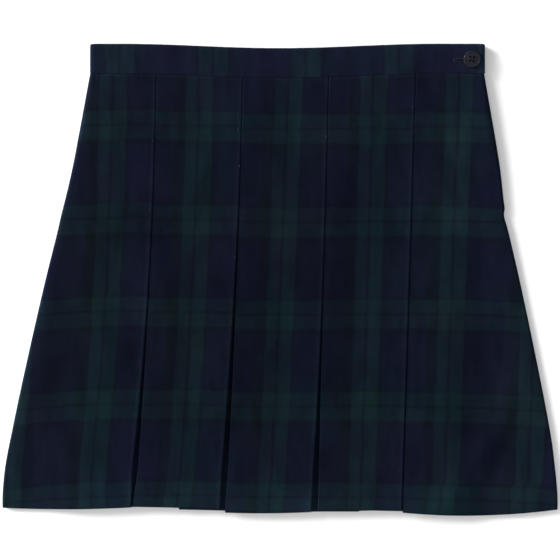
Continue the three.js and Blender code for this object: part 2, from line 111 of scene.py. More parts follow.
BACK_LINES = (
    {"waist": -107.5, "middle": -110.0, "hem": -116.5, "widest": 2.4, "parted": 2.8, "curve": 2.0},
    {"waist": -34.0, "middle": -36.2, "hem": -41.0, "widest": 3.0, "parted": 1.8, "curve": 2.0},
    {"waist": 39.5, "middle": 38.0, "hem": 35.0, "widest": 2.6, "parted": 3.2, "curve": 2.0},
    {"waist": 113.0, "middle": 111.8, "hem": 110.5, "widest": 2.0, "parted": 2.2, "curve": 2.0},
)
# How far down each strip ends, at its left, its middle and its right
FRONT_HEMS = (
    (369.4, 370.4, 368.8),
    (368.2, 369.0, 369.8),
    (373.2, 373.7, 372.7),
    (372.2, 371.6, 370.8),
    (373.3, 375.8, 371.0),
)
BACK_HEMS = (
    (368.6, 368.4, 367.4),
    (367.0, 367.2, 367.6),
    (369.6, 369.8, 369.4),
    (369.0, 368.8, 368.4),
    (369.6, 371.6, 369.2),
)

# A bell is a soft rise or hollow: x and y of its middle, its reach along and across the way it
# points, that way in degrees, and its height. Ridges lift every layer of the front, as in the
# solids, and creases only its outer layer.
RIDGE_LOSS = 0.25
FRONT_RIDGES = (
    (182, -128, 60, 15, 62, 2.2),
    (206, -168, 44, 12, 98, 1.2),
    (-196, -130, 70, 17, 104, 1.7),
    (-150, -50, 90, 22, 96, 0.5),
    (-88, -150, 70, 22, 94, 0.5),
    (-8, -140, 80, 24, 93, 0.6),
    (68, -120, 75, 22, 91, 0.5),
    (160, 60, 60, 14, 78, 0.8),
)
FRONT_CREASES = (
    (188, -146, 34, 6, 68, -0.7),
    (150, -152, 26, 7, 80, 0.35),
    (130, 20, 40, 6, 84, 0.25),
    (165, 118, 26, 5, 70, 0.4),
    (77, -60, 45, 8, 88, 0.25),
    (60, 40, 55, 7, 95, -0.22),
    (2, 92, 38, 9, 92, 0.25),
    (-16, -30, 60, 8, 86, -0.2),
    (-70, 60, 60, 9, 91, 0.3),
    (-98, -70, 44, 7, 99, -0.25),
    (-140, 70, 50, 7, 100, 0.3),
    (-172, -20, 46, 8, 104, 0.4),
    (-210, -168, 22, 6, 82, -0.5),
    (-160, -150, 38, 9, 97, 0.4),
)

# Painted light and shade: broad soft patches where the panels' colour is made paler or darker than elsewhere,
# as a share of the colour.
PAINTED_LIGHT_AND_SHADE = (
    (-15, -10, 95, 75, 96, -0.19),
    (166, 80, 120, 36, 102, 0.34),
    (212, -110, 130, 26, 102, 0.36),
    (-222, -104, 120, 6.5, 78, 0.5),
    (-200, 0, 90, 6, 77, 0.4),
    (-170, 125, 65, 6, 78, 0.45),
    (-158, 158, 26, 8, 78, 0.25),
    (-157, 112, 44, 6, 78, -0.12),
    (-196, -20, 30, 12, 77, 0.24),
    (-226, -155, 26, 10, 80, 0.26),
    (-184, 15, 55, 8, 77, -0.14),
    (-213, -122, 40, 8, 78, -0.24),
    (184, 128, 45, 3.5, 100, 0.32),
    (232, -140, 30, 4, 96, 0.34),
    (220, -152, 36, 7, 97, 0.24),
    (169, 142, 36, 7, 100, 0.16),
    (-184, -70, 90, 20, 78, -0.2),
    (-154, 55, 90, 18, 80, -0.17),
    (-20, -198, 320, 18, 0, 0.4),
    (-150, -178, 50, 24, 0, 0.2),
    (-94, -174, 22, 24, 90, 0.14),
    (-152, -2, 34, 18, 80, -0.11),
    (-94, -66, 46, 16, 92, -0.12),
    (-34, -119, 22, 16, 90, -0.12),
    (-6, 10, 26, 20, 90, 0.13),
    (55, -105, 34, 16, 91, -0.07),
    (176, -50, 30, 14, 98, 0.09),
    (-96, 30, 120, 13, 92, -0.16),
    (-65, 120, 45, 12, 91, -0.12),
    (27, 20, 60, 13, 92, -0.13),
    (-4, -85, 70, 13, 92, -0.1),
    (124, 0, 60, 15, 91, 0.1),
    (-64, -60, 130, 13, 92, 0.1),
    (-4, 100, 60, 13, 91, -0.13),
    (55, -60, 100, 15, 91, -0.17),
    (86, 105, 80, 15, 92, -0.13),
    (148, -38, 44, 17, 92, -0.14),
    (60, 165, 150, 16, 0, 0.06),
    (120, -176, 75, 22, 0, 0.18),
    (206, -45, 45, 14, 102, -0.12),
    (40, -17, 34, 24, 90, -0.09),
    (-178, 0, 90, 24, 80, -0.05),
    (0, 172, 400, 4, 0, -0.12),
)
# Where the dye looks redder or greener than elsewhere, as a share of that part of the colour.
REDS = (
    (174, -100, 150, 24, 100, 0.13),
    (-183, -70, 70, 20, 78, 0.05),
    (-34, -110, 110, 16, 92, 0.05),
    (70, 160, 16, 40, 90, 0.07),
)
GREENS = (
    (-34, 10, 75, 16, 92, -0.07),
    (55, 10, 75, 16, 91, -0.08),
    (176, 110, 70, 18, 98, 0.07),
    (160, 138, 24, 12, 92, 0.12),
    (-205, -150, 40, 22, 80, 0.07),
)
# Painted light and shade on the waistband: patches where its colour is made paler or darker, among them
# painted light that thins the button's shadow at its lower right and painted shade at its upper right.
BAND_PAINTED_LIGHT_AND_SHADE = (
    (-58, 188, 80, 60, 0, -0.12),
    (158, 188, 44, 60, 0, 0.2),
    (170, 180, 7, 5, -20, 0.6),
    (172, 196, 7, 5, 0, -0.25),
    (-123, 188, 9, 60, 0, 0.13),
    (-88, 188, 13, 60, 0, -0.13),
    (72, 188, 26, 60, 0, -0.1),
)

# Waistband
BAND_WALL = 2.2
BAND_BACK_LEVEL = BAND_WALL / 2
BAND_TONGUE_LEVEL = 3.65
BAND_FRONT_LEVEL = 6.2
BAND_BACK_DROP = 0.8
BAND_CORNER = 1.9               # radius of its upper corners
TONGUE_LENGTH = 34.0

# Fastening
OPENING_END_SHARE = 0.3
OPENING_CLOSES_BY = 0.325
OPENING_HALF_GAP = 0.8
ZIP_TOP_SHARE = 0.001
ZIP_TAPE = 0.8
ZIP_TAPE_REACH = 5.0            # how far each tape lies between the panels
BUTTON_X = 163.2
BUTTON_Y = 187.2
BUTTON_RADIUS = 7.3
BUTTON_BASE = BAND_FRONT_LEVEL + BAND_WALL / 2 + SEAM_GAP
BUTTON_HOLE_RADIUS = 0.95
BUTTON_HOLE_OFFSET = 1.55
BUTTON_TURN = -8.0              # how far the button has turned on its thread, in degrees
BUTTONHOLE_Y = 186.4
BUTTONHOLE_LEFT = 148.6
BUTTONHOLE_RIGHT = 165.2

# The tartan, charted: each stripe's thread and width, from the middle of a pair of green
# stripes to the middle of the next pair.
WARP_STRIPES = (
    ("dim", 1.4),
    ("green", 10.5),
    ("grey", 2.6),
    ("navy", 35.5),
    ("black", 9.1),
    ("soft", 9.2),
    ("dim", 1.4),
)
WEFT_STRIPES = (
    ("dim", 1.2),
    ("dull", 11.3),
    ("grey", 5.3),
    ("navy", 46.2),
    ("grey", 3.2),
    ("dull", 10.7),
    ("dim", 1.2),
)
WARP_REPEAT = sum(width for thread, width in WARP_STRIPES)
FOLD_PRESS = (0.15, 0.34)       # 1 is a round fold, less is a squarer one: at the waist and the hem
PRESS_CHANGES = (0.1, 0.6)      # shares of the way down between which it does
STITCHES_LET_GO = (0.1, 0.34)   # shares of the way down between which the folds come free
DIP_REACH = 4.5                 # how far below the waist seam its pull is seen
FOLD_REACH = 1.6                # how far from a fold its rise is seen
CREASES_CLEAR = 9.0             # creases fade out this near a fold
FAR = 1e3                       # where a strip has a side edge and no fold
EDGE_GAP = 0.05                 # half of what the panels leave between them at a side seam
FOLD_PAINTED_LIGHT_AND_SHADE = ((-1, 1.4), (-0.5, 0.85), (0, 1.0))   # by the fold mark: painted light at a fold's foot and on the underlay, where the gap shows them (-1), and painted shade on the edge of the fold right of a line (-0.5)
RIGHT_OF_LINE = (0.15, -0.5)    # how far the fold right of a line stands up, where the left is 1; its edge also gets painted highlight above zero and painted shade below it
REPEATS_PER_BOX = 3             # a box and the cloth folded behind it take up three repeats
FIRST_BAND_DOWN = 42.4          # from the waist seam to the middle of the first pair across
BAND_STRIPE_X = 101.1           # middle of a pair on the waistband's front
BAND_CUT_FROM = 61.1            # where its inner edge lies across the repeat, so its front is navy
LEFT_PAIR = 36.0                # from the first line out to the middle of the side strip's pair
RIGHT_PAIR = (37.0, 33.5)       # from the last line out, at the waist and at the hem
SIDES_DRAWN = (0.04, 0.02)      # how much narrower stripes get towards the left and right sides
DRAWN_OVER = (15.0, 60.0)       # how far from that pair they begin to, and how far off they have
DROOPS = (3.6, 2.3)             # how far the stripes bow down at the left and right sides
DROOP_REACH = 85.0
HEM_PULL = 3.2                  # how far the hem at the right has slipped sideways in the sewing
HEM_PULL_OVER = (4.0, 16.0)     # how far right of the last line that begins, and has its full size

# How far the stripes of each strip of the front lie from their even places: across the skirt and
# down it, at the waist, half way and at the hem.
FRONT_SLIPS = (
    {"across": (-0.9, -0.15, 1.6), "down": (0.2, 0.7, 0.0)},
    {"across": (-0.55, 0.3, 0.05), "down": (1.5, 2.4, -0.8)},
    {"across": (2.1, 0.65, 0.2), "down": (3.9, 4.6, 0.6)},
    {"across": (0.75, 0.9, 0.1), "down": (4.4, 3.8, 1.2)},
    {"across": (-0.1, 0.6, 1.2), "down": (1.9, 3.6, 2.8)},
)
BACK_SLIPS = (
    {"across": (0.0, 0.5, 0.8), "down": (1.0, 0.4, -0.4)},
    {"across": (0.5, 0.2, 0.9), "down": (2.2, 1.9, 0.6)},
    {"across": (0.9, 1.6, 0.4), "down": (3.4, 2.6, 0.2)},
    {"across": (1.2, 0.3, 0.7), "down": (2.8, 3.0, 1.4)},
    {"across": (0.4, 0.9, 1.1), "down": (1.6, 0.8, 1.9)},
)


def lerp(a, b, t):
    return a + (b - a) * t


def smooth(t, low, high):
    s = np.clip((t - low) / (high - low), 0, 1)
    return s * s * (3 - 2 * s)


def side_edge(down, column):
    """The left side (1) or the right (2) along smooth cubics through the rows of its table, each
    level with its neighbours."""
    keys = np.array([row[0] for row in SIDE_EDGES], float)
    values = np.array([row[column] for row in SIDE_EDGES], float)
    i = np.arange(len(keys))
    before, after = np.maximum(i - 1, 0), np.minimum(i + 1, len(keys) - 1)
    slopes = (values[after] - values[before]) / (keys[after] - keys[before])
    i = np.clip(np.searchsorted(keys, down) - 1, 0, len(keys) - 2)
    span = keys[i + 1] - keys[i]
    s = np.clip((down - keys[i]) / span, 0, 1)
    rise = values[i + 1] - values[i]
    bend = (slopes[i] * span - rise) * (1 - s) + (rise - slopes[i + 1] * span) * s
    return values[i] + rise * s + s * (1 - s) * bend


def through_three(start, middle, end, t):
    """The parabola through three values, at t = 0, 0.5 and 1."""
    return start + (4 * middle - 3 * start - end) * t + (2 * start + 2 * end - 4 * middle) * t**2


def waist_sag(x):
    share = np.minimum(np.abs(x) / WAIST_SAG_REACH, 1)
    return WAIST_SAG * (1 + np.cos(math.pi * share)) / 2


def side_half(share):
    return lerp(SIDE_HALF_AT_WAIST, SIDE_HALF_BELOW, smooth(share, 0, SIDE_THINS_BY))


def fold_gap(line, share):
    opened = np.clip((share - STITCHED_SHARE) / (WIDEST_SHARE - STITCHED_SHARE), 0, 1)
    opening = lerp(PLEAT_SHUT, line["widest"], opened ** line["curve"])
    closing = lerp(line["widest"], line["parted"], smooth(share, WIDEST_SHARE, 1))
    return np.where(share < WIDEST_SHARE, opening, closing)


def bells(rows, x, y):
    """The sum of height * exp(-(a / along)**2 - (b / across)**2), where a and b are how far a
    place is from a bell's middle, the way the bell points and square to it."""
    lift = 0.0
    for middle_x, middle_y, along, across, degrees, height in rows:
        turn = math.radians(degrees)
        dx, dy = x - middle_x, y - middle_y
        a = (dx * math.cos(turn) + dy * math.sin(turn)) / along
        b = (dy * math.cos(turn) - dx * math.sin(turn)) / across
        lift = lift + height * np.exp(-(a**2) - b**2)
    return lift


def between(count):
    """Shares evenly between 0 and 1, without the ends."""
    return (np.arange(count) + 1) / (count + 1)


def crowded(count):
    """Shares between 0 and 1 without the ends, closer together near both ends."""
    return (1 - np.cos(math.pi * between(count))) / 2


# Samples across each kind of stretch of a panel's section
CURL_COUNT = 8
SIDE_COUNT = 42
BOX_COUNT = 28
OUTER_FOLD_COUNT = 11
INNER_FOLD_COUNT = 5
RETURN_COUNT = 4
UNDERLAY_COUNT = 8
PARTS_PER_STRIP = 8             # stretches of the section from one strip to the next

# Shares of the way behind a pleat line at which the outer fold, the return and the inner fold end
FOLD_ENDS = 0.015
RETURN_ENDS = 0.25
TURN_ENDS = 0.26

FRONT = {"facing": 1, "lines": FRONT_LINES, "hems": FRONT_HEMS, "level": BOX_LEVEL}
FRONT |= {"spring": FRONT_SPRING, "ridges": FRONT_RIDGES, "creases": FRONT_CREASES, "relief": 1.0}
FRONT |= {"slips": FRONT_SLIPS}
BACK = {"facing": -1, "lines": BACK_LINES, "hems": BACK_HEMS, "level": BACK_LEVEL}
BACK |= {"spring": 0.0, "ridges": (), "creases": (), "relief": 0.0, "slips": BACK_SLIPS}


class Section:
    """The middle of a panel's wall across the skirt, at each share of the way from waist to hem.

    From the left seam it curls up round the side edge and runs along the first strip. At every
    pleat line it turns round the strip's outer fold, runs back under the strip, turns round the
    inner fold, passes behind the line as the underlay and comes back the same way to the next
    strip. A fold is x = centre + radius * cos(a), z = level + radius * sin(a), and a flat stretch
    is x evenly from end to end at z = level(x). Each point also has the way out of the cloth, the
    hem's distance below the waist, the place on the flat cloth, the mark of pressed folds (1 on
    top of one, -1 behind a line) and how far the stripes have slipped down.
    """

    def __init__(self, panel, share, sizes):
        share = np.asarray(share, float)[:, None]
        down = share * LENGTH
        self.panel, self.share, self.parts = panel, share, []
        self.facing, self.hems, self.last = panel["facing"], panel["hems"], len(panel["lines"])
        self.middle_y = WAIST_Y - down
        self.left, self.right = side_edge(down, 1), side_edge(down, 2)
        self.half = side_half(share)
        self.curl = self.half - WALL / 2
        self.sprung = panel["spring"] * smooth(share, STITCHED_SHARE, 1)
        self.layer = LAYER + self.sprung
        self.radius = self.layer / 2
        self.outside = self.radius + WALL / 2
        self.folds = [self.fold_edges(line) for line in panel["lines"]]
        self.slips = [through_three(*row["down"], share) for row in panel["slips"]]
        self.press = lerp(*FOLD_PRESS, smooth(share, *PRESS_CHANGES))
        self.below_waist = smooth(share, 0, RIDGES_START)
        self.below_stitches = smooth(share, *STITCHES_LET_GO)
        self.right_of_line = lerp(*RIGHT_OF_LINE, self.below_stitches)
        self.pride = panel["relief"] * sizes.fold_pride / MM * lerp(0.1, 1, self.below_waist)
        self.dip = panel["relief"] * sizes.seam_dip / MM * np.exp(-((down / DIP_REACH) ** 2))
        self.dish = panel["relief"] * sizes.box_dish / MM

    def fold_edges(self, line):
        at = through_three(line["waist"], line["middle"], line["hem"], self.share)
        gap = fold_gap(line, self.share)
        return at - gap / 2, at + gap / 2

    def level(self, x, inward):
        """Height of the wall's middle, so far in from the outermost layer: low at the side edges,
        up a ramp to the pleats' layers, and lifted by the ridges."""
        low, high = self.left + self.half, self.right - self.half
        first, last = self.folds[0][0] - PLEAT_DEPTH, self.folds[-1][1] + PLEAT_DEPTH
        ramp_left, ramp_right = np.maximum(low, first - SIDE_RAMP), np.minimum(high, last + SIDE_RAMP)
        inside = smooth(x, ramp_left, first) * (1 - smooth(x, last, ramp_right))
        sides = smooth(x, low, self.left + SIDE_RAMP) * (1 - smooth(x, self.right - SIDE_RAMP, high))
        lift = bells(self.panel["ridges"], x, self.middle_y) * (1 - RIDGE_LOSS * inward / self.layer)
        outer = lerp(self.half + self.facing * self.curl, self.panel["level"] + 2 * self.sprung, inside)
        return outer - self.facing * inward + self.below_waist * sides * lift

    def cloth(self, k, x):
        """Where x lies across the flat cloth: stripes run beside the nearest pleat line."""
        slip = through_three(*self.panel["slips"][k]["across"], self.share)
        start = k * REPEATS_PER_BOX * WARP_REPEAT - slip
        if k == 0:
            away = x - (self.folds[0][0] - LEFT_PAIR)
            return start + away * (1 - SIDES_DRAWN[0] * smooth(-away, *DRAWN_OVER))
        if k == self.last:
            away = x - (self.folds[-1][1] + lerp(*RIGHT_PAIR, self.share))
            return start + away * (1 - SIDES_DRAWN[1] * smooth(away, *DRAWN_OVER))
        return start + x - (self.folds[k - 1][1] + self.folds[k][0]) / 2

    def add(self, x, z, nx, nz, hem, cloth, press):
        slip = self.slips[min(len(self.parts) // PARTS_PER_STRIP, self.last)]
        stretch = np.broadcast_arrays(x, z, nx, nz * self.facing, hem, cloth, press, slip)
        self.parts.append(np.stack(stretch, -1))

    def flat(self, x, inward, side, hem, cloth, press, extra=0.0):
        slope = self.facing * (self.level(x + 0.5, inward) - self.level(x - 0.5, inward))
        length = np.hypot(slope, 1)
        z = self.level(x, inward) + self.facing * extra
        self.add(x, z, -side * slope / length, side / length, hem, cloth, press)

    def outer_fold(self, centre, start, end, hem, cloth):
        """A pressed fold at a pleat line, squarer than half a circle: its cosine is raised to the
        power of the press. The strip's edge stands up a little there."""
        t = np.linspace(0, 1, OUTER_FOLD_COUNT)
        turn = np.radians(lerp(start, end, t))[None, :]
        width, s = np.abs(np.cos(turn)), np.sin(turn)
        side, strength = (1, 1) if start == 90 else (-1, self.right_of_line)
        nx, nz = side * width ** (2 - self.press), self.press * s
        length = np.hypot(nx, nz)
        top = (1 + s) / 2
        raised = (self.pride * strength - self.dip) * top
        x = centre + self.radius * side * width**self.press
        z = self.level(centre, self.radius) + self.facing * (self.radius * s + raised)
        # The fold mark: painted highlight on the fold's top, painted light at its foot in the gap.
        press = lerp(-lerp(0.3, 1, self.below_stitches), strength, top)
        self.add(x, z, nx / length, nz / length, hem, cloth(t), press)

    def inner_fold(self, centre, start, end, hem, cloth):
        """Half a circle where the cloth turns back behind a strip."""
        t = np.linspace(0, 1, INNER_FOLD_COUNT)
        turn = np.radians(lerp(start, end, t))[None, :]
        c, s = np.cos(turn), np.sin(turn)
        z = self.level(centre, self.radius + self.layer) + self.facing * self.radius * s
        self.add(centre + self.radius * c, z, -c, -s, hem, cloth(t), 0.0)

    def side_curl(self, edge, way, gap, hem, k):
        """A quarter circle round a side edge, climbing on the left and falling on the right."""
        first = np.arcsin(gap / self.curl)
        t = np.linspace(0, 1, CURL_COUNT)[None, :]
        turn = lerp(first, math.pi / 2, t if way < 0 else 1 - t)
        c, s = np.cos(turn), np.sin(turn)
        x = edge - way * (self.half - self.curl * c)
        self.add(x, self.half + self.facing * self.curl * s, way * c, s, hem, self.cloth(k, x), 0.0)

    def strip(self, k):
        """The flat strip between two pleat lines, or between a line and a side edge."""
        at_side = k in (0, self.last)
        start = self.left + self.half if k == 0 else self.folds[k - 1][1] + self.outside
        end = self.right - self.half if k == self.last else self.folds[k][0] - self.outside
        t = crowded(SIDE_COUNT if at_side else BOX_COUNT)[None, :]
        x = lerp(start, end, t)
        from_left = np.full_like(x, FAR) if k == 0 else x - start
        from_right = np.full_like(x, FAR) if k == self.last else end - x
        # Near its folds the strip stands up, and its fold mark becomes painted highlight (above zero) or
        # painted shade (below zero) in the colour.
        near = self.right_of_line * np.exp(-((from_left / FOLD_REACH) ** 2))
        near = near + np.exp(-((from_right / FOLD_REACH) ** 2))
        clear = smooth(from_left, 0, CREASES_CLEAR) * smooth(from_right, 0, CREASES_CLEAR)
        unevenly = 0.8 + 0.2 * np.sin(self.middle_y / 31 + 2.1 * k)
        dish = 0.0 if at_side else self.dish * np.sin(math.pi * t) * unevenly
        relief = bells(self.panel["creases"], x, self.middle_y) - dish
        extra = self.pride * near - self.dip * lerp(1, 0.9, near) + clear * self.below_waist * relief
        hem = through_three(*self.hems[k], t)
        self.flat(x, 0.0, 1, hem, self.cloth(k, x), np.clip(near, -1, 1), extra)

    def pleat(self, k):
        """The cloth behind a pleat line, from the strip on its left to the strip on its right."""
        (a, b), outside, layer = self.folds[k], self.outside, self.layer
        left_hem, right_hem = self.hems[k][-1], self.hems[k + 1][0]
        first, last = self.cloth(k, a), self.cloth(k + 1, b)
        left_end, right_end = a - PLEAT_DEPTH + outside, b + PLEAT_DEPTH - outside
        back, under = between(RETURN_COUNT)[None, :], between(UNDERLAY_COUNT)[None, :]

        def cloth(low, high):
            """The cloth's place over a stretch of the way behind the pleat line."""
            return lambda s: lerp(first, last, lerp(low, high, s))

        def hem(s):
            return lerp(left_hem, right_hem, s)

        low, high = RETURN_ENDS, 1 - RETURN_ENDS
        self.outer_fold(a - outside, 90, -90, left_hem, cloth(0, FOLD_ENDS))
        x = lerp(a - outside, left_end, back)
        self.flat(x, layer, -1, lerp(left_hem, hem(low), back), cloth(FOLD_ENDS, low)(back), 0.0)
        self.inner_fold(left_end, 90, 270, hem(low), cloth(low, TURN_ENDS))
        x = lerp(left_end, right_end, under)
        place = cloth(TURN_ENDS, 1 - TURN_ENDS)(under)
        # The underlay's fold mark of -1 gives it painted light where the gap shows it.
        self.flat(x, 2 * layer, 1, hem(lerp(low, high, under)), place, -1.0)
        self.inner_fold(right_end, -90, 90, hem(high), cloth(1 - TURN_ENDS, high))
        x = lerp(right_end, b + outside, back)
        self.flat(x, layer, -1, lerp(hem(high), right_hem, back), cloth(high, 1 - FOLD_ENDS)(back), 0.0)
        self.outer_fold(b + outside, 270, 90, right_hem, cloth(1 - FOLD_ENDS, 1))

    def whole(self):
        self.side_curl(self.left, -1, EDGE_GAP, self.hems[0][0], 0)
        for k in range(self.last):
            self.strip(k)
            self.pleat(k)
        self.strip(self.last)
        opening = 1 - smooth(self.share, OPENING_END_SHARE, OPENING_CLOSES_BY)
        gap = lerp(EDGE_GAP, OPENING_HALF_GAP, opening)
        self.side_curl(self.right, 1, gap, self.hems[-1][-1], self.last)
        return np.concatenate(self.parts, 1)


LENGTH_COUNT = 104
HEM_TURN_COUNT = 7
HEM_INSIDE_COUNT = 8
HEM_ROOM = 0.04                 # how far inside the wall's middle the centre of the hem's turn lies
SEAM_OVERLAP = SEAM_GAP / 6     # how far the cloth reaches into the waist seam's gap
HEM_SHIFT_OVER = 0.8            # half the height over which the slipped hem drags the cloth


def waist_top(x):
    return WAIST_Y - waist_sag(x) + SEAM_OVERLAP


def panel_cloth(panel, sizes):
    """A panel as one ply: down to the hem near the wall's outer face, round a half circle and back
    up near its inner face for the depth of the turned-up hem. With a turn of a, the ply's middle
    moves in by radius * (1 - cos(a)) and down by radius * sin(a). Returns the ply's middle, the
    way out of it, its UV map and the mark of pressed folds, as grids of rows down the skirt."""
    ply = sizes.ply / MM
    depth = sizes.hem_depth / MM
    radius = (WALL - ply) / 2 + HEM_ROOM
    turn = np.linspace(0, math.pi, HEM_TURN_COUNT + 2)[1:-1]
    inside = 1 - np.linspace(0, depth / LENGTH, HEM_INSIDE_COUNT)
    share = np.concatenate([np.linspace(0, 1, LENGTH_COUNT), np.ones(HEM_TURN_COUNT), inside])
    tilt = np.concatenate([np.zeros(LENGTH_COUNT), turn, np.full(HEM_INSIDE_COUNT, math.pi)])[:, None]
    offset = WALL / 2 - ply / 2 - radius * (1 - np.cos(tilt))
    x, z, nx, nz, hem, cloth, press, slip = np.moveaxis(Section(panel, share, sizes).whole(), -1, 0)
    hem_y = WAIST_Y - hem + radius + ply / 2
    y = lerp(waist_top(x[0])[None, :], hem_y, share[:, None]) - radius * np.sin(tilt)
    points = np.stack([x + nx * offset, y, z + nz * offset], -1)
    normals = np.stack([nx * np.cos(tilt), -np.sin(tilt) * np.ones_like(x), nz * np.cos(tilt)], -1)

    down = WAIST_Y - y
    on_left = np.maximum(panel["lines"][0]["middle"] - x, 0)
    on_right = np.maximum(x - panel["lines"][-1]["middle"], 0)
    droop = DROOPS[0] * (on_left / DROOP_REACH) ** 2 + DROOPS[1] * (on_right / DROOP_REACH) ** 2
    along = down - FIRST_BAND_DOWN - droop - slip
    along = np.where(tilt > math.pi / 2, 2 * (hem - FIRST_BAND_DOWN) - along, along)
    hem_line = WAIST_Y - hem_y - depth
    pulled = smooth(down, hem_line - HEM_SHIFT_OVER, hem_line + HEM_SHIFT_OVER)
    pulled = pulled * smooth(on_right, *HEM_PULL_OVER) * HEM_PULL
    uv = np.stack([cloth + pulled, along], -1) / UV_UNIT
    return points, normals, uv, press * np.ones_like(x)


def border(index):
    """The indices round the border of a grid, in order."""
    return np.concatenate([index[0, :-1], index[:-1, -1], index[-1, :0:-1], index[:0:-1, 0]])


def shell(points, normals, half):
    """A closed wall round a grid: point + half * normal outside, point - half * normal inside, and
    a rim round the border. Returns the corners, outer ones first, and the faces."""
    rows, columns = points.shape[:2]
    count = rows * columns
    index = np.arange(count).reshape(rows, columns)
    sides = (points + normals * half, points - normals * half)
    corners = np.concatenate([side.reshape(-1, 3) for side in sides])
    a, b, c, d = index[:-1, :-1], index[:-1, 1:], index[1:, 1:], index[1:, :-1]
    outer = np.stack([a, b, c, d], -1).reshape(-1, 4)
    inner = np.stack([a, d, c, b], -1).reshape(-1, 4) + count
    ring = border(index)
    ahead = np.roll(ring, -1)
    rim = np.stack([ahead, ring, ring + count, ahead + count], -1)
    faces = np.concatenate([outer, inner, rim])
    first = corners[outer]
    facing = np.cross(first[:, 1] - first[:, 0], first[:, 3] - first[:, 0])
    agrees = (facing * normals.reshape(-1, 3)[outer[:, 0]]).sum()
    return corners, (faces if agrees > 0 else faces[:, ::-1]).tolist()


def tubes(paths, radius, sides):
    """Round tubes along many short paths at once: round each point of a path there is a ring of
    radius * (cos(a) * across + sin(a) * over), where both ways are square to the path, and each
    end is closed by a flat ring of half the radius."""
    paths = np.asarray(paths, float)
    ahead = np.gradient(paths, axis=1)
    ahead /= np.linalg.norm(ahead, axis=2, keepdims=True)
    up = np.where(np.abs(ahead[..., 2:]) > 0.9, [1.0, 0.0, 0.0], [0.0, 0.0, 1.0])
    across = np.cross(ahead, up)
    across /= np.linalg.norm(across, axis=2, keepdims=True)
    over = np.cross(across, ahead)
    turn = np.arange(sides) * 2 * math.pi / sides
    ring = np.cos(turn)[:, None] * across[:, :, None] + np.sin(turn)[:, None] * over[:, :, None]
    count, length = paths.shape[:2]
    size = np.full(length, radius)
    size[[0, -1]] = radius * 0.5
    corners = paths[:, :, None] + ring * size[None, :, None, None]
    index = np.arange(count * length * sides).reshape(count, length, sides)
    beside = np.roll(index, -1, axis=2)
    walls = np.stack([index[:, 1:], beside[:, 1:], beside[:, :-1], index[:, :-1]], -1).reshape(-1, 4)
    return corners.reshape(-1, 3), walls.tolist() + index[:, 0].tolist() + index[:, -1, ::-1].tolist()


def joined(*shapes):
    """Several shapes, each its corners and its list of faces, as one."""
    corners, faces = [], []
    for more, more_faces in shapes:
        count = sum(len(part) for part in corners)
        faces += [[count + i for i in face] for face in more_faces]
        corners.append(more)
    return np.concatenate(corners), faces


def lathe(profile, sides):
    """A profile turned round the Z axis: x = radius * cos(a), y = radius * sin(a), z = height,
    with one point at each end."""
    turn = np.arange(sides) * 2 * math.pi / sides
    rings = profile[1:-1]
    wide = rings[:, None, :1] * np.stack([np.cos(turn), np.sin(turn)], -1)[None]
    high = np.broadcast_to(rings[:, None, 1:], (len(rings), sides, 1))
    poles = [(0, 0, profile[0, 1]), (0, 0, profile[-1, 1])]
    corners = np.concatenate([np.concatenate([wide, high], -1).reshape(-1, 3), poles])
    index = np.arange(len(rings) * sides).reshape(len(rings), sides)
    beside = np.roll(index, -1, axis=1)
    walls = np.stack([index[:-1], beside[:-1], beside[1:], index[1:]], -1).reshape(-1, 4)
    under, over = np.full(sides, len(corners) - 2), np.full(sides, len(corners) - 1)
    first = np.stack([under, beside[0], index[0]], -1)
    last = np.stack([over, index[-1], beside[-1]], -1)
    return corners, walls.tolist() + first.tolist() + last.tolist()


def column(ring, low, high):
    """A flat ring, against the clock, raised from one height to another and closed at both."""
    corners = np.concatenate([np.c_[ring, np.full(len(ring), z)] for z in (low, high)])
    index = np.arange(len(ring))
    ahead = np.roll(index, -1)
    walls = np.stack([index, ahead, ahead + len(ring), index + len(ring)], -1)
    return corners, walls.tolist() + [index[::-1].tolist(), (index + len(ring)).tolist()]


def add_piece(name, corners, faces, material, slot, uv=None, marks=None):
    """A mesh object at the origin from corners in millimetres, riding on the skirt's one body. Its
    UV map and its marks have a value for each corner."""
    mesh = bpy.data.meshes.new(name)
    mesh.from_pydata((corners * MM).tolist(), [], faces)
    if uv is not None:
        corner_of_loop = np.empty(len(mesh.loops), int)
        mesh.loops.foreach_get("vertex_index", corner_of_loop)
        layer = mesh.uv_layers.new(name="Cloth")
        layer.uv.foreach_set("vector", uv[corner_of_loop].astype(np.float32).ravel())
    for mark, values in (marks or {}).items():
        kind, field = ("FLOAT_VECTOR", "vector") if values.shape[-1] == 3 else ("FLOAT", "value")
        attribute = mesh.attributes.new(mark, kind, "POINT")
        attribute.data.foreach_set(field, values.astype(np.float32).ravel())
    mesh.materials.append(material)
    mesh.shade_smooth()
    mesh.validate()
    mesh.update()
    piece = bpy.data.objects.new(name, mesh)
    bpy.context.scene.collection.objects.link(piece)
    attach(piece, "root")
    return piece


def add_cloth(name, slot, material, half, points, normals, uv, press, tone):
    """A piece of cloth from its grid. Both its faces have the grid's UV map and marks."""
    corners, faces = shell(points, normals, half)
    grids = (uv, press[..., None], tone)
    uv, press, tone = [np.concatenate([grid.reshape(-1, grid.shape[-1])] * 2) for grid in grids]
    return add_piece(name, corners, faces, material, slot, uv, {"press": press, "tone": tone})


def cut(piece, corners, faces):
    """Takes a closed shape out of a piece and leaves the result as its mesh."""
    mesh = bpy.data.meshes.new("cutter")
    mesh.from_pydata((corners * MM).tolist(), [], faces)
    cutter = bpy.data.objects.new("cutter", mesh)
    bpy.context.scene.collection.objects.link(cutter)
    modifier = piece.modifiers.new("cut", "BOOLEAN")
    modifier.operation = "DIFFERENCE"
    modifier.solver = "EXACT"
    modifier.object = cutter
    graph = bpy.context.evaluated_depsgraph_get()
    result = bpy.data.meshes.new_from_object(piece.evaluated_get(graph))
    piece.modifiers.remove(modifier)
    piece.data = result
    bpy.data.objects.remove(cutter)


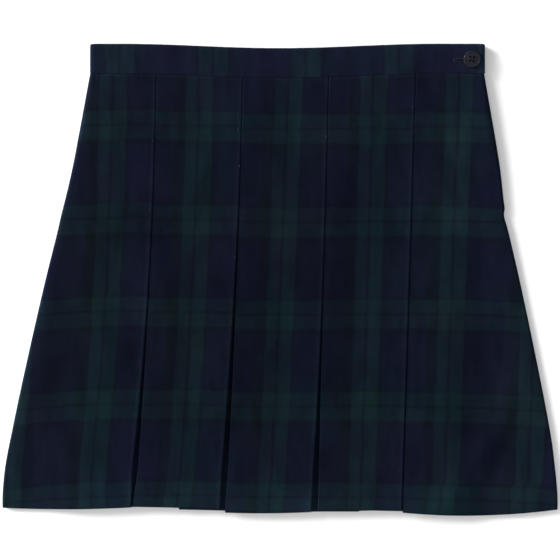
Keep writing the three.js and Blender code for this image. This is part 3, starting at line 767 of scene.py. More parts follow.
class Wiring:
    """Adds nodes to one tree and joins them. An input is a socket or a plain value."""

    def __init__(self, tree):
        self.tree = tree

    def add(self, kind, **settings):
        made = self.tree.nodes.new(kind)
        for name, value in settings.items():
            setattr(made, name, value)
        return made

    def feed(self, socket, value):
        if isinstance(value, bpy.types.NodeSocket):
            self.tree.links.new(value, socket)
        elif value is not None:
            socket.default_value = value

    def math(self, operation, a, b=None, c=None):
        made = self.add("ShaderNodeMath", operation=operation)
        for socket, value in zip(made.inputs, (a, b, c)):
            self.feed(socket, value)
        return made.outputs[0]

    def mix(self, share, a, b):
        made = self.add("ShaderNodeMix", data_type="RGBA")
        self.feed(made.inputs["Factor"], share)
        self.feed(made.inputs[6], a)
        self.feed(made.inputs[7], b)
        return made.outputs[2]

    def scaled(self, colour, share):
        """A colour times a plain number that changes over the surface."""
        made = self.add("ShaderNodeVectorMath", operation="SCALE")
        self.feed(made.inputs[0], colour)
        self.feed(made.inputs["Scale"], share)
        return made.outputs[0]

    def vectors(self, operation, a, b):
        """Two vectors or colours taken together part by part."""
        made = self.add("ShaderNodeVectorMath", operation=operation)
        self.feed(made.inputs[0], a)
        self.feed(made.inputs[1], b)
        return made.outputs[0]

    def attribute(self, name, output):
        return self.add("ShaderNodeAttribute", attribute_name=name).outputs[output]

    def parts(self, vector):
        made = self.add("ShaderNodeSeparateXYZ")
        self.feed(made.inputs[0], vector)
        return made.outputs

    def noise(self, vector, scale, detail=2.0, roughness=0.5):
        made = self.add("ShaderNodeTexNoise", noise_dimensions="3D")
        self.feed(made.inputs["Vector"], vector)
        made.inputs["Scale"].default_value = scale
        made.inputs["Detail"].default_value = detail
        made.inputs["Roughness"].default_value = roughness
        return made.outputs["Fac"]

    def vector(self, x, y, z=0.0):
        made = self.add("ShaderNodeCombineXYZ")
        for socket, value in zip(made.inputs, (x, y, z)):
            self.feed(socket, value)
        return made.outputs[0]

    def stretch(self, value, low, high, to_low, to_high):
        made = self.add("ShaderNodeMapRange")
        for socket, number in zip(made.inputs, (value, low, high, to_low, to_high)):
            self.feed(socket, number)
        return made.outputs[0]


def new_group(name, inputs, outputs):
    """An empty node group with typed, named sockets. Returns its wiring and both ends."""
    tree = bpy.data.node_groups.new(name, "ShaderNodeTree")
    for label, kind, default in inputs:
        socket = tree.interface.new_socket(label, in_out="INPUT", socket_type=kind)
        if default is not None:
            socket.default_value = default
    for label, kind in outputs:
        tree.interface.new_socket(label, in_out="OUTPUT", socket_type=kind)
    wires = Wiring(tree)
    return wires, wires.add("NodeGroupInput"), wires.add("NodeGroupOutput")


THREAD_MASKS = {
    "navy": (0, 0, 0, 1),
    "black": (0, 1, 0, 1),
    "grey": (0, 0.72, 0, 1),    # black that has faded
    "dim": (0.2, 1, 0, 1),      # a few black threads between green ones
    "soft": (0.9, 0, 0, 1),     # green that has faded a little
    "dull": (0.76, 0, 0, 1),    # green that has faded more
    "green": (1, 0, 0, 1),
}
STRIPE_EDGE = 1.3              # how far two stripes run into each other


def stripes_ramp(wires, place, stripes):
    """Which thread lies at a place across one repeat: red is green thread, green is black."""
    repeat = sum(width for thread, width in stripes)
    share = wires.math("FRACT", wires.math("DIVIDE", place, repeat))
    made = wires.add("ShaderNodeValToRGB")
    wires.feed(made.inputs[0], share)
    ramp = made.color_ramp
    at, stops = 0.0, []
    for thread, width in stripes:
        mask = THREAD_MASKS[thread]
        stops.append(((at + STRIPE_EDGE / 2) / repeat, mask))
        at += width
        stops.append(((at - STRIPE_EDGE / 2) / repeat, mask))
    stops[0] = (0.0, stops[0][1])
    stops[-1] = (1.0, stops[-1][1])
    ramp.elements[0].position, ramp.elements[0].color = stops[0]
    ramp.elements[1].position, ramp.elements[1].color = stops[-1]
    for position, mask in stops[1:-1]:
        ramp.elements.new(position).color = mask
    parted = wires.add("ShaderNodeSeparateColor")
    wires.feed(parted.inputs[0], made.outputs[0])
    return parted.outputs[0], parted.outputs[1]


def tartan_group():
    """The tartan: one set of striped threads runs down the cloth and one across it, and a 2/2
    twill lets each show half the time. Every thread is dyed a little unevenly along itself."""
    inputs = [
        ("Across", "NodeSocketFloat", 0.0),
        ("Along", "NodeSocketFloat", 0.0),
        ("Navy", "NodeSocketColor", None),
        ("Black", "NodeSocketColor", None),
        ("Green", "NodeSocketColor", None),
        ("Thread", "NodeSocketFloat", 0.42),
        ("Unevenness", "NodeSocketFloat", 0.2),
    ]
    wires, start, end = new_group(
        "Tartan twill", inputs, [("Color", "NodeSocketColor"), ("Height", "NodeSocketFloat")]
    )
    across, along, navy, black, green, thread, uneven = [start.outputs[i] for i in range(7)]
    colours = []
    for place, other, stripes in ((across, along, WARP_STRIPES), (along, across, WEFT_STRIPES)):
        greens, blacks = stripes_ramp(wires, place, stripes)
        colour = wires.mix(greens, wires.mix(blacks, navy, black), green)
        streaks = wires.noise(wires.vector(place, wires.math("MULTIPLY", other, 0.04)), 1.6, 3.0, 0.7)
        strength = wires.math("MULTIPLY_ADD", wires.math("SUBTRACT", streaks, 0.5), uneven, 1.0)
        colours.append(wires.scaled(colour, strength))
    column = wires.math("DIVIDE", across, thread)
    row = wires.math("DIVIDE", along, thread)
    step = wires.math("ADD", wires.math("FLOOR", column), wires.math("FLOOR", row))
    turn = wires.math("FLOORED_MODULO", step, 4.0)
    warp_up = wires.math("LESS_THAN", turn, 2.0)
    share = wires.stretch(warp_up, 0.0, 1.0, 0.72, 0.28)
    colour = wires.mix(share, colours[0], colours[1])
    round_column = wires.math("ABSOLUTE", wires.math("SINE", wires.math("MULTIPLY", column, math.pi)))
    round_row = wires.math("ABSOLUTE", wires.math("SINE", wires.math("MULTIPLY", row, math.pi)))
    warp_height = wires.math("MULTIPLY", warp_up, round_column)
    weft_height = wires.math("MULTIPLY", wires.math("SUBTRACT", 1.0, warp_up), round_row)
    wires.feed(end.inputs[0], colour)
    wires.feed(end.inputs[1], wires.math("ADD", warp_height, weft_height))
    return wires.tree


def wear_group():
    """How use shows: soft patches where the nap lies another way or the dye leans to red or green,
    and scattered pale specks of lint. Puts out factors for the colour and the roughness."""
    inputs = [
        ("Vector", "NodeSocketVector", None),
        ("Patches", "NodeSocketFloat", 2.3),
        ("Lint", "NodeSocketFloat", 0.5),
        ("Dye", "NodeSocketFloat", 0.85),
    ]
    outputs = [("Shade", "NodeSocketFloat"), ("Lint", "NodeSocketFloat"), ("Roughness", "NodeSocketFloat")]
    outputs.append(("Tint", "NodeSocketVector"))
    wires, start, end = new_group("Nap and lint", inputs, outputs)
    vector, patches, lint, dye = [start.outputs[i] for i in range(4)]
    wide = wires.noise(vector, 20.0, 4.0, 0.6)
    fine = wires.noise(vector, 260.0, 2.0, 0.6)
    streaks = wires.noise(wires.vectors("MULTIPLY", vector, (1.0, 0.3, 1.0)), 85.0, 3.0, 0.6)
    both = wires.math("ADD", wires.math("MULTIPLY", wide, 0.42), wires.math("MULTIPLY", fine, 0.14))
    both = wires.math("ADD", both, wires.math("MULTIPLY", streaks, 0.44))
    shade = wires.math("MULTIPLY_ADD", wires.math("SUBTRACT", both, 0.5), patches, 1.0)
    specks = wires.math("GREATER_THAN", wires.noise(vector, 900.0, 1.0, 0.5), 0.79)
    wires.feed(end.inputs[0], shade)
    wires.feed(end.inputs[1], wires.math("MULTIPLY", specks, lint))
    wires.feed(end.inputs[2], wires.stretch(fine, 0.3, 0.7, 0.84, 0.95))
    casts = []
    for aside in (0.31, 0.77):
        moved = wires.vectors("ADD", vector, (aside, aside, 0.0))
        cast = wires.math("SUBTRACT", wires.noise(moved, 16.0, 4.0, 0.6), 0.5)
        casts.append(wires.math("MULTIPLY_ADD", cast, dye, 1.0))
    wires.feed(end.inputs[3], wires.vector(*casts, 1.0))
    return wires.tree


def group_node(wires, tree, **values):
    made = wires.add("ShaderNodeGroup", node_tree=tree)
    for name, value in values.items():
        wires.feed(made.inputs[name.replace("_", " ")], value)
    return made


def new_material(name, **numbers):
    """A material with uniform numbers set on its shader. Returns it with its wiring, its shader
    and the place on the object."""
    material = bpy.data.materials.new(name)
    material.use_nodes = True
    wires = Wiring(material.node_tree)
    shader = material.node_tree.nodes["Principled BSDF"]
    for socket, number in numbers.items():
        shader.inputs[socket.replace("_", " ")].default_value = number
    return material, wires, shader, wires.add("ShaderNodeTexCoord").outputs["Object"]


def rgba(colour):
    return (*colour, 1.0)


def bumped(wires, shader, height, distance, strength):
    bump = wires.add("ShaderNodeBump")
    wires.feed(bump.inputs["Height"], height)
    bump.inputs["Distance"].default_value = distance
    bump.inputs["Strength"].default_value = strength
    wires.feed(shader.inputs["Normal"], bump.outputs[0])


def group_named(name, make):
    return bpy.data.node_groups.get(name) or make()


SHEEN_TINT = (0.45, 0.55, 0.8, 1.0)
LINT_SHOWS = 0.12
RUBBED_SMOOTHER = 0.12          # how much less rough a pressed fold is


def tartan_material(name, looks, crosswise=False):
    """Twill cloth by its own UV map. Crosswise cloth is cut with its length across the skirt."""
    material, wires, shader, place = new_material(
        name, Specular_IOR_Level=0.02, Sheen_Weight=looks.sheen, Sheen_Roughness=0.5, Sheen_Tint=SHEEN_TINT
    )
    parted = wires.parts(wires.add("ShaderNodeUVMap", uv_map="Cloth").outputs[0])
    places = []
    for i, aside in enumerate((0.0, 3.7)):
        moved = wires.vectors("ADD", place, (aside, 0.0, aside))
        drift = wires.math("SUBTRACT", wires.noise(moved, 55.0, 2.0, 0.5), 0.5)
        straight = wires.math("MULTIPLY", parted[i], UV_UNIT)
        places.append(wires.math("MULTIPLY_ADD", drift, looks.drift / MM, straight))
    across, along = places[::-1] if crosswise else places
    dyes = {dye.title(): rgba(getattr(looks, dye)) for dye in ("navy", "black", "green")}
    tartan = group_node(wires, group_named("Tartan twill", tartan_group), Across=across, Along=along, **dyes)
    wear = group_node(wires, group_named("Nap and lint", wear_group), Vector=place)
    press = wires.attribute("press", "Fac")
    colour = wires.scaled(tartan.outputs["Color"], wear.outputs["Shade"])
    # Painted highlight on the pressed folds; then the tone mark, which holds painted light and shade and the
    # dye's tints.
    colour = wires.scaled(colour, wires.stretch(press, 0.0, 1.0, 1.0, looks.fold_painted_highlight))
    colour = wires.vectors("MULTIPLY", colour, wires.attribute("tone", "Vector"))
    colour = wires.vectors("MULTIPLY", colour, wear.outputs["Tint"])
    lint = wires.math("MULTIPLY", wear.outputs["Lint"], LINT_SHOWS)
    wires.feed(shader.inputs["Base Color"], wires.mix(lint, colour, rgba(looks.lint)))
    rubbed = wires.math("MULTIPLY", press, RUBBED_SMOOTHER)
    wires.feed(shader.inputs["Roughness"], wires.math("SUBTRACT", wear.outputs["Roughness"], rubbed))
    bumped(wires, shader, tartan.outputs["Height"], 0.00012, 0.35)
    return material


def thread_material(name, colour):
    """Twisted sewing thread: fine ridges by its place."""
    material, wires, shader, place = new_material(name, Roughness=0.75, Specular_IOR_Level=0.1)
    twist = wires.noise(place, 5200.0, 2.0, 0.6)
    shade = wires.stretch(twist, 0.3, 0.7, 0.7, 1.25)
    wires.feed(shader.inputs["Base Color"], wires.scaled(tuple(colour), shade))
    bumped(wires, shader, twist, 0.0001, 0.5)
    return material


def button_material(looks):
    """Moulded imitation horn: grey streaks that drift across the button, under a gloss that
    handling has dulled in places."""
    material, wires, shader, place = new_material("button_horn", Specular_IOR_Level=0.07)
    drawn = wires.vectors("MULTIPLY", place, (0.35, 1.0, 1.0))
    streaks = wires.stretch(wires.noise(drawn, 620.0, 4.0, 0.6), 0.35, 0.68, 0.0, 1.0)
    colour = wires.mix(streaks, rgba(looks.button), rgba(looks.button_streak))
    wires.feed(shader.inputs["Base Color"], colour)
    handled = wires.noise(place, 1500.0, 2.0, 0.5)
    wires.feed(shader.inputs["Roughness"], wires.stretch(handled, 0.3, 0.7, 0.11, 0.18))
    bumped(wires, shader, handled, 0.00003, 0.4)
    return material


def tape_material(looks):
    """The zip's herringbone tape: slanted ribs that turn back every few millimetres."""
    material, wires, shader, place = new_material("zip_tape_cloth", Roughness=0.85, Specular_IOR_Level=0.2)
    parted = wires.parts(place)
    slant = wires.math("ADD", parted[1], wires.math("PINGPONG", parted[2], 0.0012))
    rib = wires.math("ABSOLUTE", wires.math("SINE", wires.math("MULTIPLY", slant, 5200.0)))
    shade = wires.stretch(rib, 0.0, 1.0, 0.7, 1.2)
    wires.feed(shader.inputs["Base Color"], wires.scaled(tuple(looks.tape), shade))
    bumped(wires, shader, rib, 0.0001, 0.4)
    return material


def coil_material(looks):
    """Nylon teeth: smooth dark plastic, a little scuffed."""
    material, wires, shader, place = new_material("zip_coil_nylon")
    scuffs = wires.noise(place, 2400.0, 3.0, 0.6)
    shade = wires.stretch(scuffs, 0.3, 0.7, 1.2, 2.2)
    wires.feed(shader.inputs["Base Color"], wires.scaled(tuple(looks.tape), shade))
    wires.feed(shader.inputs["Roughness"], wires.stretch(scuffs, 0.3, 0.7, 0.32, 0.5))
    return material


def slider_material(looks):
    """Lacquered die-cast metal, rubbed brighter in small patches."""
    material, wires, shader, place = new_material("zip_slider_lacquer")
    rubbed = wires.stretch(wires.noise(place, 900.0, 4.0, 0.65), 0.5, 0.66, 0.0, 1.0)
    colour = wires.mix(rubbed, rgba(looks.slider), (0.32, 0.32, 0.34, 1.0))
    wires.feed(shader.inputs["Base Color"], colour)
    wires.feed(shader.inputs["Metallic"], wires.stretch(rubbed, 0.0, 1.0, 0.35, 1.0))
    wires.feed(shader.inputs["Roughness"], wires.stretch(rubbed, 0.0, 1.0, 0.42, 0.28))
    return material


def floor_material(looks):
    """A plain pale sheet of paper with a very fine tooth."""
    material, wires, shader, place = new_material("pale_paper", Roughness=0.9, Specular_IOR_Level=0.1)
    tooth = wires.stretch(wires.noise(place, 900.0, 2.0, 0.5), 0.3, 0.7, 0.995, 1.0)
    wires.feed(shader.inputs["Base Color"], wires.scaled(tuple(looks.floor), tooth))
    return material


class SkirtSizes(bpy.types.PropertyGroup):
    ply: FloatProperty(
        name="Cloth", description="Thickness of one ply of the cloth", default=0.0005, min=0.0003, max=0.0006,
        unit="LENGTH", precision=5,
    )
    hem_depth: FloatProperty(
        name="Hem", description="Depth of the turned-up hem", default=0.025, min=0.01, max=0.04, unit="LENGTH"
    )
    fold_pride: FloatProperty(
        name="Fold spring", description="How far a pressed outer fold stands up from its box", default=0.0003,
        min=0.0, max=0.001, unit="LENGTH", precision=5,
    )
    box_dish: FloatProperty(
        name="Box dish", description="How far the middle of a box lies below its folds", default=0.0005,
        min=0.0, max=0.001, unit="LENGTH", precision=5,
    )
    seam_dip: FloatProperty(
        name="Seam dip", description="How far the cloth is pulled down at the waist seam", default=0.0002,
        min=0.0, max=0.001, unit="LENGTH", precision=5,
    )
    hem_stitch: FloatProperty(
        name="Hem stitch", description="Distance between two stitches of the hem", default=0.0075,
        min=0.003, max=0.02, unit="LENGTH",
    )
    buttonhole_threads: IntProperty(
        name="Buttonhole threads", description="Stitches round the buttonhole", default=120, min=40, max=200
    )


def colour_property(name, description, default):
    return FloatVectorProperty(
        name=name, description=description, default=default, min=0.0, max=1.0, subtype="COLOR"
    )


class SkirtLooks(bpy.types.PropertyGroup):
    navy: colour_property("Navy", "The ground of the tartan", (0.00297, 0.0042, 0.01045))
    black: colour_property("Black", "The dark lines beside the green", (0.00225, 0.0039, 0.0060))
    green: colour_property("Green", "The double stripes", (0.0036, 0.0099, 0.0124))
    lint: colour_property("Lint", "Pale specks on the cloth", (0.02, 0.024, 0.035))
    button: colour_property("Button", "Ground of the button", (0.0071, 0.0085, 0.0124))
    button_streak: colour_property("Button streaks", "Paler streaks of the button", (0.0146, 0.0158, 0.0206))
    stitching: colour_property("Buttonhole thread", "Pale thread of the buttonhole", (0.0064, 0.0090, 0.0182))
    thread: colour_property("Sewing thread", "Dark thread of the seams", (0.0026, 0.0032, 0.006))
    tape: colour_property("Zip tape", "The zip's tape and teeth", (0.008, 0.009, 0.018))
    slider: colour_property("Slider", "Lacquer of the zip's slider", (0.03, 0.032, 0.04))
    floor: colour_property("Floor", "The surface under the skirt", (0.9, 0.9, 0.905))
    drift: FloatProperty(
        name="Stripe drift", description="How far the threads wander from straight lines", default=0.003,
        min=0.0, max=0.01, unit="LENGTH",
    )
    sheen: FloatProperty(name="Sheen", description="Soft light off the nap", default=0.01, min=0.0, max=1.0)
    # Painted highlight: the pressed folds' colour is made paler, standing in for the shine off them.
    fold_painted_highlight: FloatProperty(
        name="Press shine", description="How much paler the pressed folds are", default=1.2, min=1.0, max=2.0
    )
    band_lift: FloatProperty(
        name="Waistband tone", description="How much paler the crosswise cloth is", default=1.36,
        min=0.5, max=2.0,
    )


def settings():
    scene = bpy.context.scene
    return scene.skirt_sizes, scene.skirt_looks


def make_panel(name, node, panel):
    sizes, looks = settings()
    cloth = panel_cloth(panel, sizes)
    points, press = cloth[0], cloth[-1]
    x, y = points[..., 0], points[..., 1]
    # The tone mark: painted light and shade in broad patches and at the folds, times the dye's redder and
    # greener patches.
    tone = (1 + bells(PAINTED_LIGHT_AND_SHADE, x, y)) * np.interp(press, *zip(*FOLD_PAINTED_LIGHT_AND_SHADE))
    tone = np.stack([tone * (1 + bells(REDS, x, y)), tone * (1 + bells(GREENS, x, y)), tone], -1)
    material = bpy.data.materials.get("tartan_twill") or tartan_material("tartan_twill", looks)
    piece = add_cloth(name, "tartan_cloth", material, sizes.ply / MM / 2, *cloth, tone)
    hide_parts(node)
    return piece


class SKIRT_OT_back(bpy.types.Operator):
    """Lays the pleated back, face down on the table"""

    bl_idname = "skirt.back"
    bl_label = "Back panel"

    def execute(self, context):
        make_panel("back_cloth", "back_panel", BACK)
        return {"FINISHED"}


class SKIRT_OT_front(bpy.types.Operator):
    """Lays the pleated front, face up on the back"""

    bl_idname = "skirt.front"
    bl_label = "Front panel"

    def execute(self, context):
        make_panel("front_cloth", "front_panel", FRONT)
        return {"FINISHED"}


def band_route():
    """The middle of the waistband's wall, from its buttoned end along the front, round the left
    side, along the back and round the right side to the tongue. Straight runs and half circles
    give x, z, the way out, how much of the point is on the back, and the length so far."""
    left_radius = (BAND_FRONT_LEVEL - BAND_BACK_LEVEL) / 2
    left_centre = WAIST_LEFT + left_radius + BAND_WALL / 2
    right_radius = (BAND_TONGUE_LEVEL - BAND_BACK_LEVEL) / 2
    right_centre = WAIST_RIGHT - SEAM_GAP - right_radius - BAND_WALL / 2
    parts = []

    def straight(start, end, z, nz, count, on_back):
        t = np.linspace(0, 1, count)
        parts.append(np.stack([lerp(start, end, t), t * 0 + z, t * 0, t * 0 + nz, t * 0 + on_back], -1))

    def turn(centre, middle, radius, start, end, count, on_back):
        t = between(count)
        angle = np.radians(lerp(start, end, t))
        c, s = np.cos(angle), np.sin(angle)
        parts.append(np.stack([centre + radius * c, middle + radius * s, c, s, on_back(t)], -1))

    front = BAND_RIGHT - np.array([0, 0.25, 0.6, 1.1, 1.8])
    for x in front:
        straight(x, x, BAND_FRONT_LEVEL, 1, 1, 0)
    straight(front[-1] - 1.5, left_centre, BAND_FRONT_LEVEL, 1, 190, 0)
    turn(left_centre, BAND_BACK_LEVEL + left_radius, left_radius, 90, 270, 14, lambda t: t)
    straight(left_centre, right_centre, BAND_BACK_LEVEL, -1, 120, 1)
    turn(right_centre, BAND_BACK_LEVEL + right_radius, right_radius, -90, 90, 10, lambda t: t * 0 + 1)
    tongue = WAIST_RIGHT - TONGUE_LENGTH
    straight(right_centre, tongue + 1.2, BAND_TONGUE_LEVEL, 1, 16, 1)
    for x in tongue + np.array([0.6, 0.25, 0]):
        straight(x, x, BAND_TONGUE_LEVEL, 1, 1, 1)
    route = np.concatenate(parts)
    step = np.hypot(np.diff(route[:, 0]), np.diff(route[:, 1]))
    length = np.concatenate([[0], np.cumsum(step)])
    return np.concatenate([route, length[:, None]], 1)


TURN_PRESS = 0.1                # how round the pressed edges turned under inside are
TURN_REACH = 0.2                # the share of the height over which they press the faces together
PINCH = 1.4                     # the band thins over this length at each end
PINCH_TO = 0.12
CROWN = 0.16
PUCKER = 0.1
PUCKER_HEIGHT = 2.2
WAVE = 0.07
SETTLE = 6                      # the length over which crown, puckers and waves grow from an end
FOLD_HEIGHT = 1.5               # how far down from the top fold the pressing shows, as painted highlight and a smoother finish


def band_profile():
    """The way round the band's ply, from the edge turned under inside, up the inner face, round
    the top fold and down the outer face to the other edge: the place along the height from 0 to 1,
    the place through the wall from -1 to 1, and how far the round parts bulge up or down."""
    turn = np.radians((18, 36, 54, 72, 84))
    roll = np.linspace(0, math.pi, 9)[1:-1]
    low, high = (0, 0.02, 0.045, 0.08, 0.13, 0.2), (0.86, 0.92, 0.96, 1)
    face = np.concatenate([low, np.linspace(0.28, 0.78, 9), high])
    height = np.concatenate([turn * 0, face, roll * 0 + 1, face[::-1], turn * 0])
    through = [-np.sin(turn), face * 0 - 1, -np.cos(roll), face * 0 + 1, np.sin(turn[::-1])]
    bulge = [-np.cos(turn), face * 0, np.sin(roll), face * 0, -np.cos(turn[::-1])]
    return height, np.concatenate(through), np.concatenate(bulge)


def band_cloth(sizes):
    """The waistband's ply folded over lengthways along its route: a long stadium across itself,
    crowned by sin(pi * q) ** 0.8, puckered at the seam and waved along its length by sines, and
    thinned at both ends. Returns the same grids as a panel."""
    ply = sizes.ply / MM
    x, z, nx, nz, on_back, length = band_route().T[:, :, None]
    q, w, bulge = band_profile()
    from_end = np.minimum(length, length[-1] - length)
    thick = (BAND_WALL - ply) / 2 * np.clip(from_end / PINCH, PINCH_TO, 1) ** 0.5
    corner = BAND_CORNER - np.sqrt(BAND_CORNER**2 - np.maximum(BAND_CORNER - from_end, 0) ** 2)
    height = BAND_HEIGHT - SEAM_GAP / 4 - BAND_BACK_DROP * on_back - corner
    bottom = WAIST_Y - waist_sag(x) + SEAM_GAP / 4
    rounded = thick * (1 + bulge * np.where(q > 0.5, 1.0, TURN_PRESS))
    closed = thick * (1 - TURN_PRESS) * np.clip(1 - q / TURN_REACH, 0, 1)
    y = bottom + rounded + ply / 2 + (height - 2 * thick - ply) * q - closed
    crown = CROWN * np.sin(math.pi * q) ** 0.8
    pucker = PUCKER * np.exp(-((q * height / PUCKER_HEIGHT) ** 2)) * np.sin(x * 0.9 + 1.7 * np.sin(x * 0.23))
    wave = WAVE * np.sin(x / 9.7 + 1.3) * np.sin(math.pi * q)
    settle = np.clip(from_end / SETTLE, 0, 1) * (1 - on_back)
    off = thick * w + (crown + pucker + wave) * settle * (w > 0.5)
    points = np.stack([x + nx * off, y, z + nz * off], -1)
    run, rise = np.gradient(points, axis=(0, 1))
    normals = np.cross(run, rise)
    normals /= np.linalg.norm(normals, axis=2, keepdims=True)
    out = np.stack(np.broadcast_arrays(nx * w, 0.0, nz * w), -1)
    if (normals * out).sum() < 0:
        normals = -normals
    across = np.linalg.norm(rise, axis=2).mean(0).cumsum() + BAND_CUT_FROM
    along = BAND_RIGHT - BAND_STRIPE_X - length
    uv = np.stack(np.broadcast_arrays(along, across), -1) / UV_UNIT
    # The top fold's mark, which the colour turns into painted highlight.
    fold = np.exp(-(((q - 1) * BAND_HEIGHT / FOLD_HEIGHT) ** 2)) * np.ones_like(y)
    return points, normals, uv, fold


def stadium(left, right, y, radius, count):
    """Points round a slot with round ends, against the clock, from below its right end."""
    turn = np.radians(np.linspace(-90, 90, count))
    right_end = np.stack([right - radius + radius * np.cos(turn), y + radius * np.sin(turn)], -1)
    left_end = np.stack([left + radius - radius * np.cos(turn), y - radius * np.sin(turn)], -1)
    return np.concatenate([right_end, left_end])


BUTTONHOLE_HALF_CUT = 0.55


class SKIRT_OT_waistband(bpy.types.Operator):
    """Folds the waistband round the waist and cuts its buttonhole"""

    bl_idname = "skirt.waistband"
    bl_label = "Waistband"

    def execute(self, context):
        sizes, looks = settings()
        cloth = band_cloth(sizes)
        # The tone mark: the waistband's paler colour, with painted light and shade in patches, among them
        # round the button.
        tone = looks.band_lift * (1 + bells(BAND_PAINTED_LIGHT_AND_SHADE, cloth[0][..., 0], cloth[0][..., 1]))
        tone = np.stack([tone] * 3, -1)
        material = tartan_material("tartan_twill_crosswise", looks, crosswise=True)
        piece = add_cloth("waistband_cloth", "tartan_band", material, sizes.ply / MM / 2, *cloth, tone)
        ring = stadium(BUTTONHOLE_LEFT, BUTTONHOLE_RIGHT, BUTTONHOLE_Y, BUTTONHOLE_HALF_CUT, 7)
        cut(piece, *column(ring, BAND_TONGUE_LEVEL + 1.25, BUTTON_BASE + 1))
        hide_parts("waistband")
        return {"FINISHED"}


TOOTH_PITCH = 1.3
TOOTH_RADIUS = 0.42
TOOTH_OUT = 0.45                # how far outside the tapes' middle the teeth run
TAPE_HALF = 0.2


def zip_arc(share):
    """The middle and radius of the tapes' bend inside the rounded side edge, and its height."""
    half = side_half(share)
    centre = side_edge(share * LENGTH, 2) - half
    return centre, half - WALL - SEAM_GAP - ZIP_TAPE / 2, half


def zip_height(share):
    return WAIST_Y - SEAM_GAP / 2 - share * FRONT_HEMS[-1][-1]


def zip_tapes(share):
    """The tapes' middle and the way out of it: straight under the front, half a circle round the
    edge's inside and straight back over the back."""
    centre, radius, half = zip_arc(share)
    t = between(6)[None, :]
    turn = np.radians(np.linspace(90, -90, 21))[None, :]
    c, s = np.cos(turn), np.sin(turn)
    ones = np.ones_like(share)
    x = [centre - ZIP_TAPE_REACH * (1 - t), centre + radius * c, centre - ZIP_TAPE_REACH * t]
    z = [half + radius + 0 * t, half + radius * s, half - radius + 0 * t]
    nx = [ones * t * 0, ones * c, ones * t * 0]
    nz = [ones + 0 * t, ones * s, 0 * t - ones]
    x, z, nx, nz = [np.concatenate(part, 1) for part in (x, z, nx, nz)]
    points = np.stack(np.broadcast_arrays(x, zip_height(share), z), -1)
    return points, np.stack([nx, 0 * nx, nz], -1)


def zip_teeth():
    """Short arcs round the edge's inside, by turns from the front's tape and the back's."""
    count = int((OPENING_END_SHARE - ZIP_TOP_SHARE) * LENGTH / TOOTH_PITCH)
    share = np.linspace(ZIP_TOP_SHARE + 0.01, OPENING_END_SHARE - 0.005, count)[:, None]
    side = np.where(np.arange(count) % 2 == 0, 1, -1)[:, None]
    turn = np.radians(side * np.linspace(-12, 55, 7)[None, :])
    centre, radius, half = zip_arc(share)
    x = centre + (radius + TOOTH_OUT) * np.cos(turn)
    z = half + (radius + TOOTH_OUT) * np.sin(turn)
    return np.stack([x, zip_height(share) + 0 * x, z], -1)


class SKIRT_OT_zip(bpy.types.Operator):
    """Sets the closed zip into the side opening: two tapes, their teeth and the slider's lacquer"""

    bl_idname = "skirt.zip"
    bl_label = "Side zip"

    def execute(self, context):
        looks = settings()[1]
        share = np.linspace(ZIP_TOP_SHARE, OPENING_END_SHARE, 60)[:, None]
        walls = shell(*zip_tapes(share), TAPE_HALF)
        tapes = add_piece("zip_tapes", *walls, tape_material(looks), "zip_tape")
        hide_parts("side_zip")
        coil = add_piece("zip_coil", *tubes(zip_teeth(), TOOTH_RADIUS, 7), coil_material(looks), "zip_tape")

        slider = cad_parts["zip_slider"]
        slider.data.materials.clear()
        slider.data.materials.append(slider_material(looks))
        return {"FINISHED"}


# The button's profile from the middle of the underside out to the rim and in over the dished top:
# the share of the radius and the height.
BUTTON_PROFILE = (
    (0, 0.9), (0.3, 0.9), (0.58, 0.9), (0.64, 0.82), (0.68, 0.3), (0.71, 0.04), (0.75, 0), (0.86, 0),
    (0.91, 0.1), (0.96, 0.45), (0.99, 0.9), (1, 1.3), (0.985, 1.8), (0.96, 2.2), (0.93, 2.48),
    (0.9, 2.6), (0.87, 2.62), (0.84, 2.57), (0.8, 2.46), (0.76, 2.34), (0.73, 2.25), (0.7, 2.23),
    (0.67, 2.27), (0.62, 2.35), (0.56, 2.42), (0.47, 2.47), (0.33, 2.49), (0.2, 2.5), (0, 2.5),
)
HOLE_LEVELS = (0.2, 0.6, 2.6, 3.0)
HOLE_SIDES = (-BUTTON_HOLE_OFFSET, BUTTON_HOLE_OFFSET)
SHANK_STRANDS = 12
SHANK_TOP = BUTTON_BASE + 0.75


def on_button(dx, dy):
    """X and Y of a place given from the button's middle, before the button is turned."""
    turn = math.radians(BUTTON_TURN)
    x = BUTTON_X + dx * math.cos(turn) - dy * math.sin(turn)
    y = BUTTON_Y + dx * math.sin(turn) + dy * math.cos(turn)
    return x, y


def strand_paths():
    """The strands on the button: up through one hole of a pair, over the dish and down the other."""
    s = np.linspace(0, 1, 17)
    rise = np.clip(np.minimum(s, 1 - s) / 0.16, 0, 1)
    z = BUTTON_BASE + lerp(0.9, 2.66, np.sin(rise * math.pi / 2))
    dy = lerp(*HOLE_SIDES, smooth(s, 0.1, 0.9))
    return [np.stack([*on_button(dx, dy), z], -1) for dx in HOLE_SIDES]


def shank_paths():
    """The shank: strands wound side by side in an ellipse that widens and leans towards the
    button, from the tongue up to the button's underside."""
    turn = np.arange(SHANK_STRANDS) * 2 * math.pi / SHANK_STRANDS
    h = np.linspace(BAND_TONGUE_LEVEL + BAND_WALL / 2 + 0.05, SHANK_TOP, 12)
    flare = 0.42 + 0.35 * smooth(h, BUTTON_BASE - 0.1, SHANK_TOP)
    twist = turn[:, None] + 0.25 * (h - h[0])[None, :]
    lean = (BUTTON_Y - BUTTONHOLE_Y) * smooth(h, BUTTON_BASE - SEAM_GAP, SHANK_TOP)
    x = BUTTON_X + 1.4 * flare * np.cos(twist)
    y = BUTTONHOLE_Y + lean + 0.7 * flare * np.sin(twist)
    return np.stack([x, y, h + 0 * twist], -1)


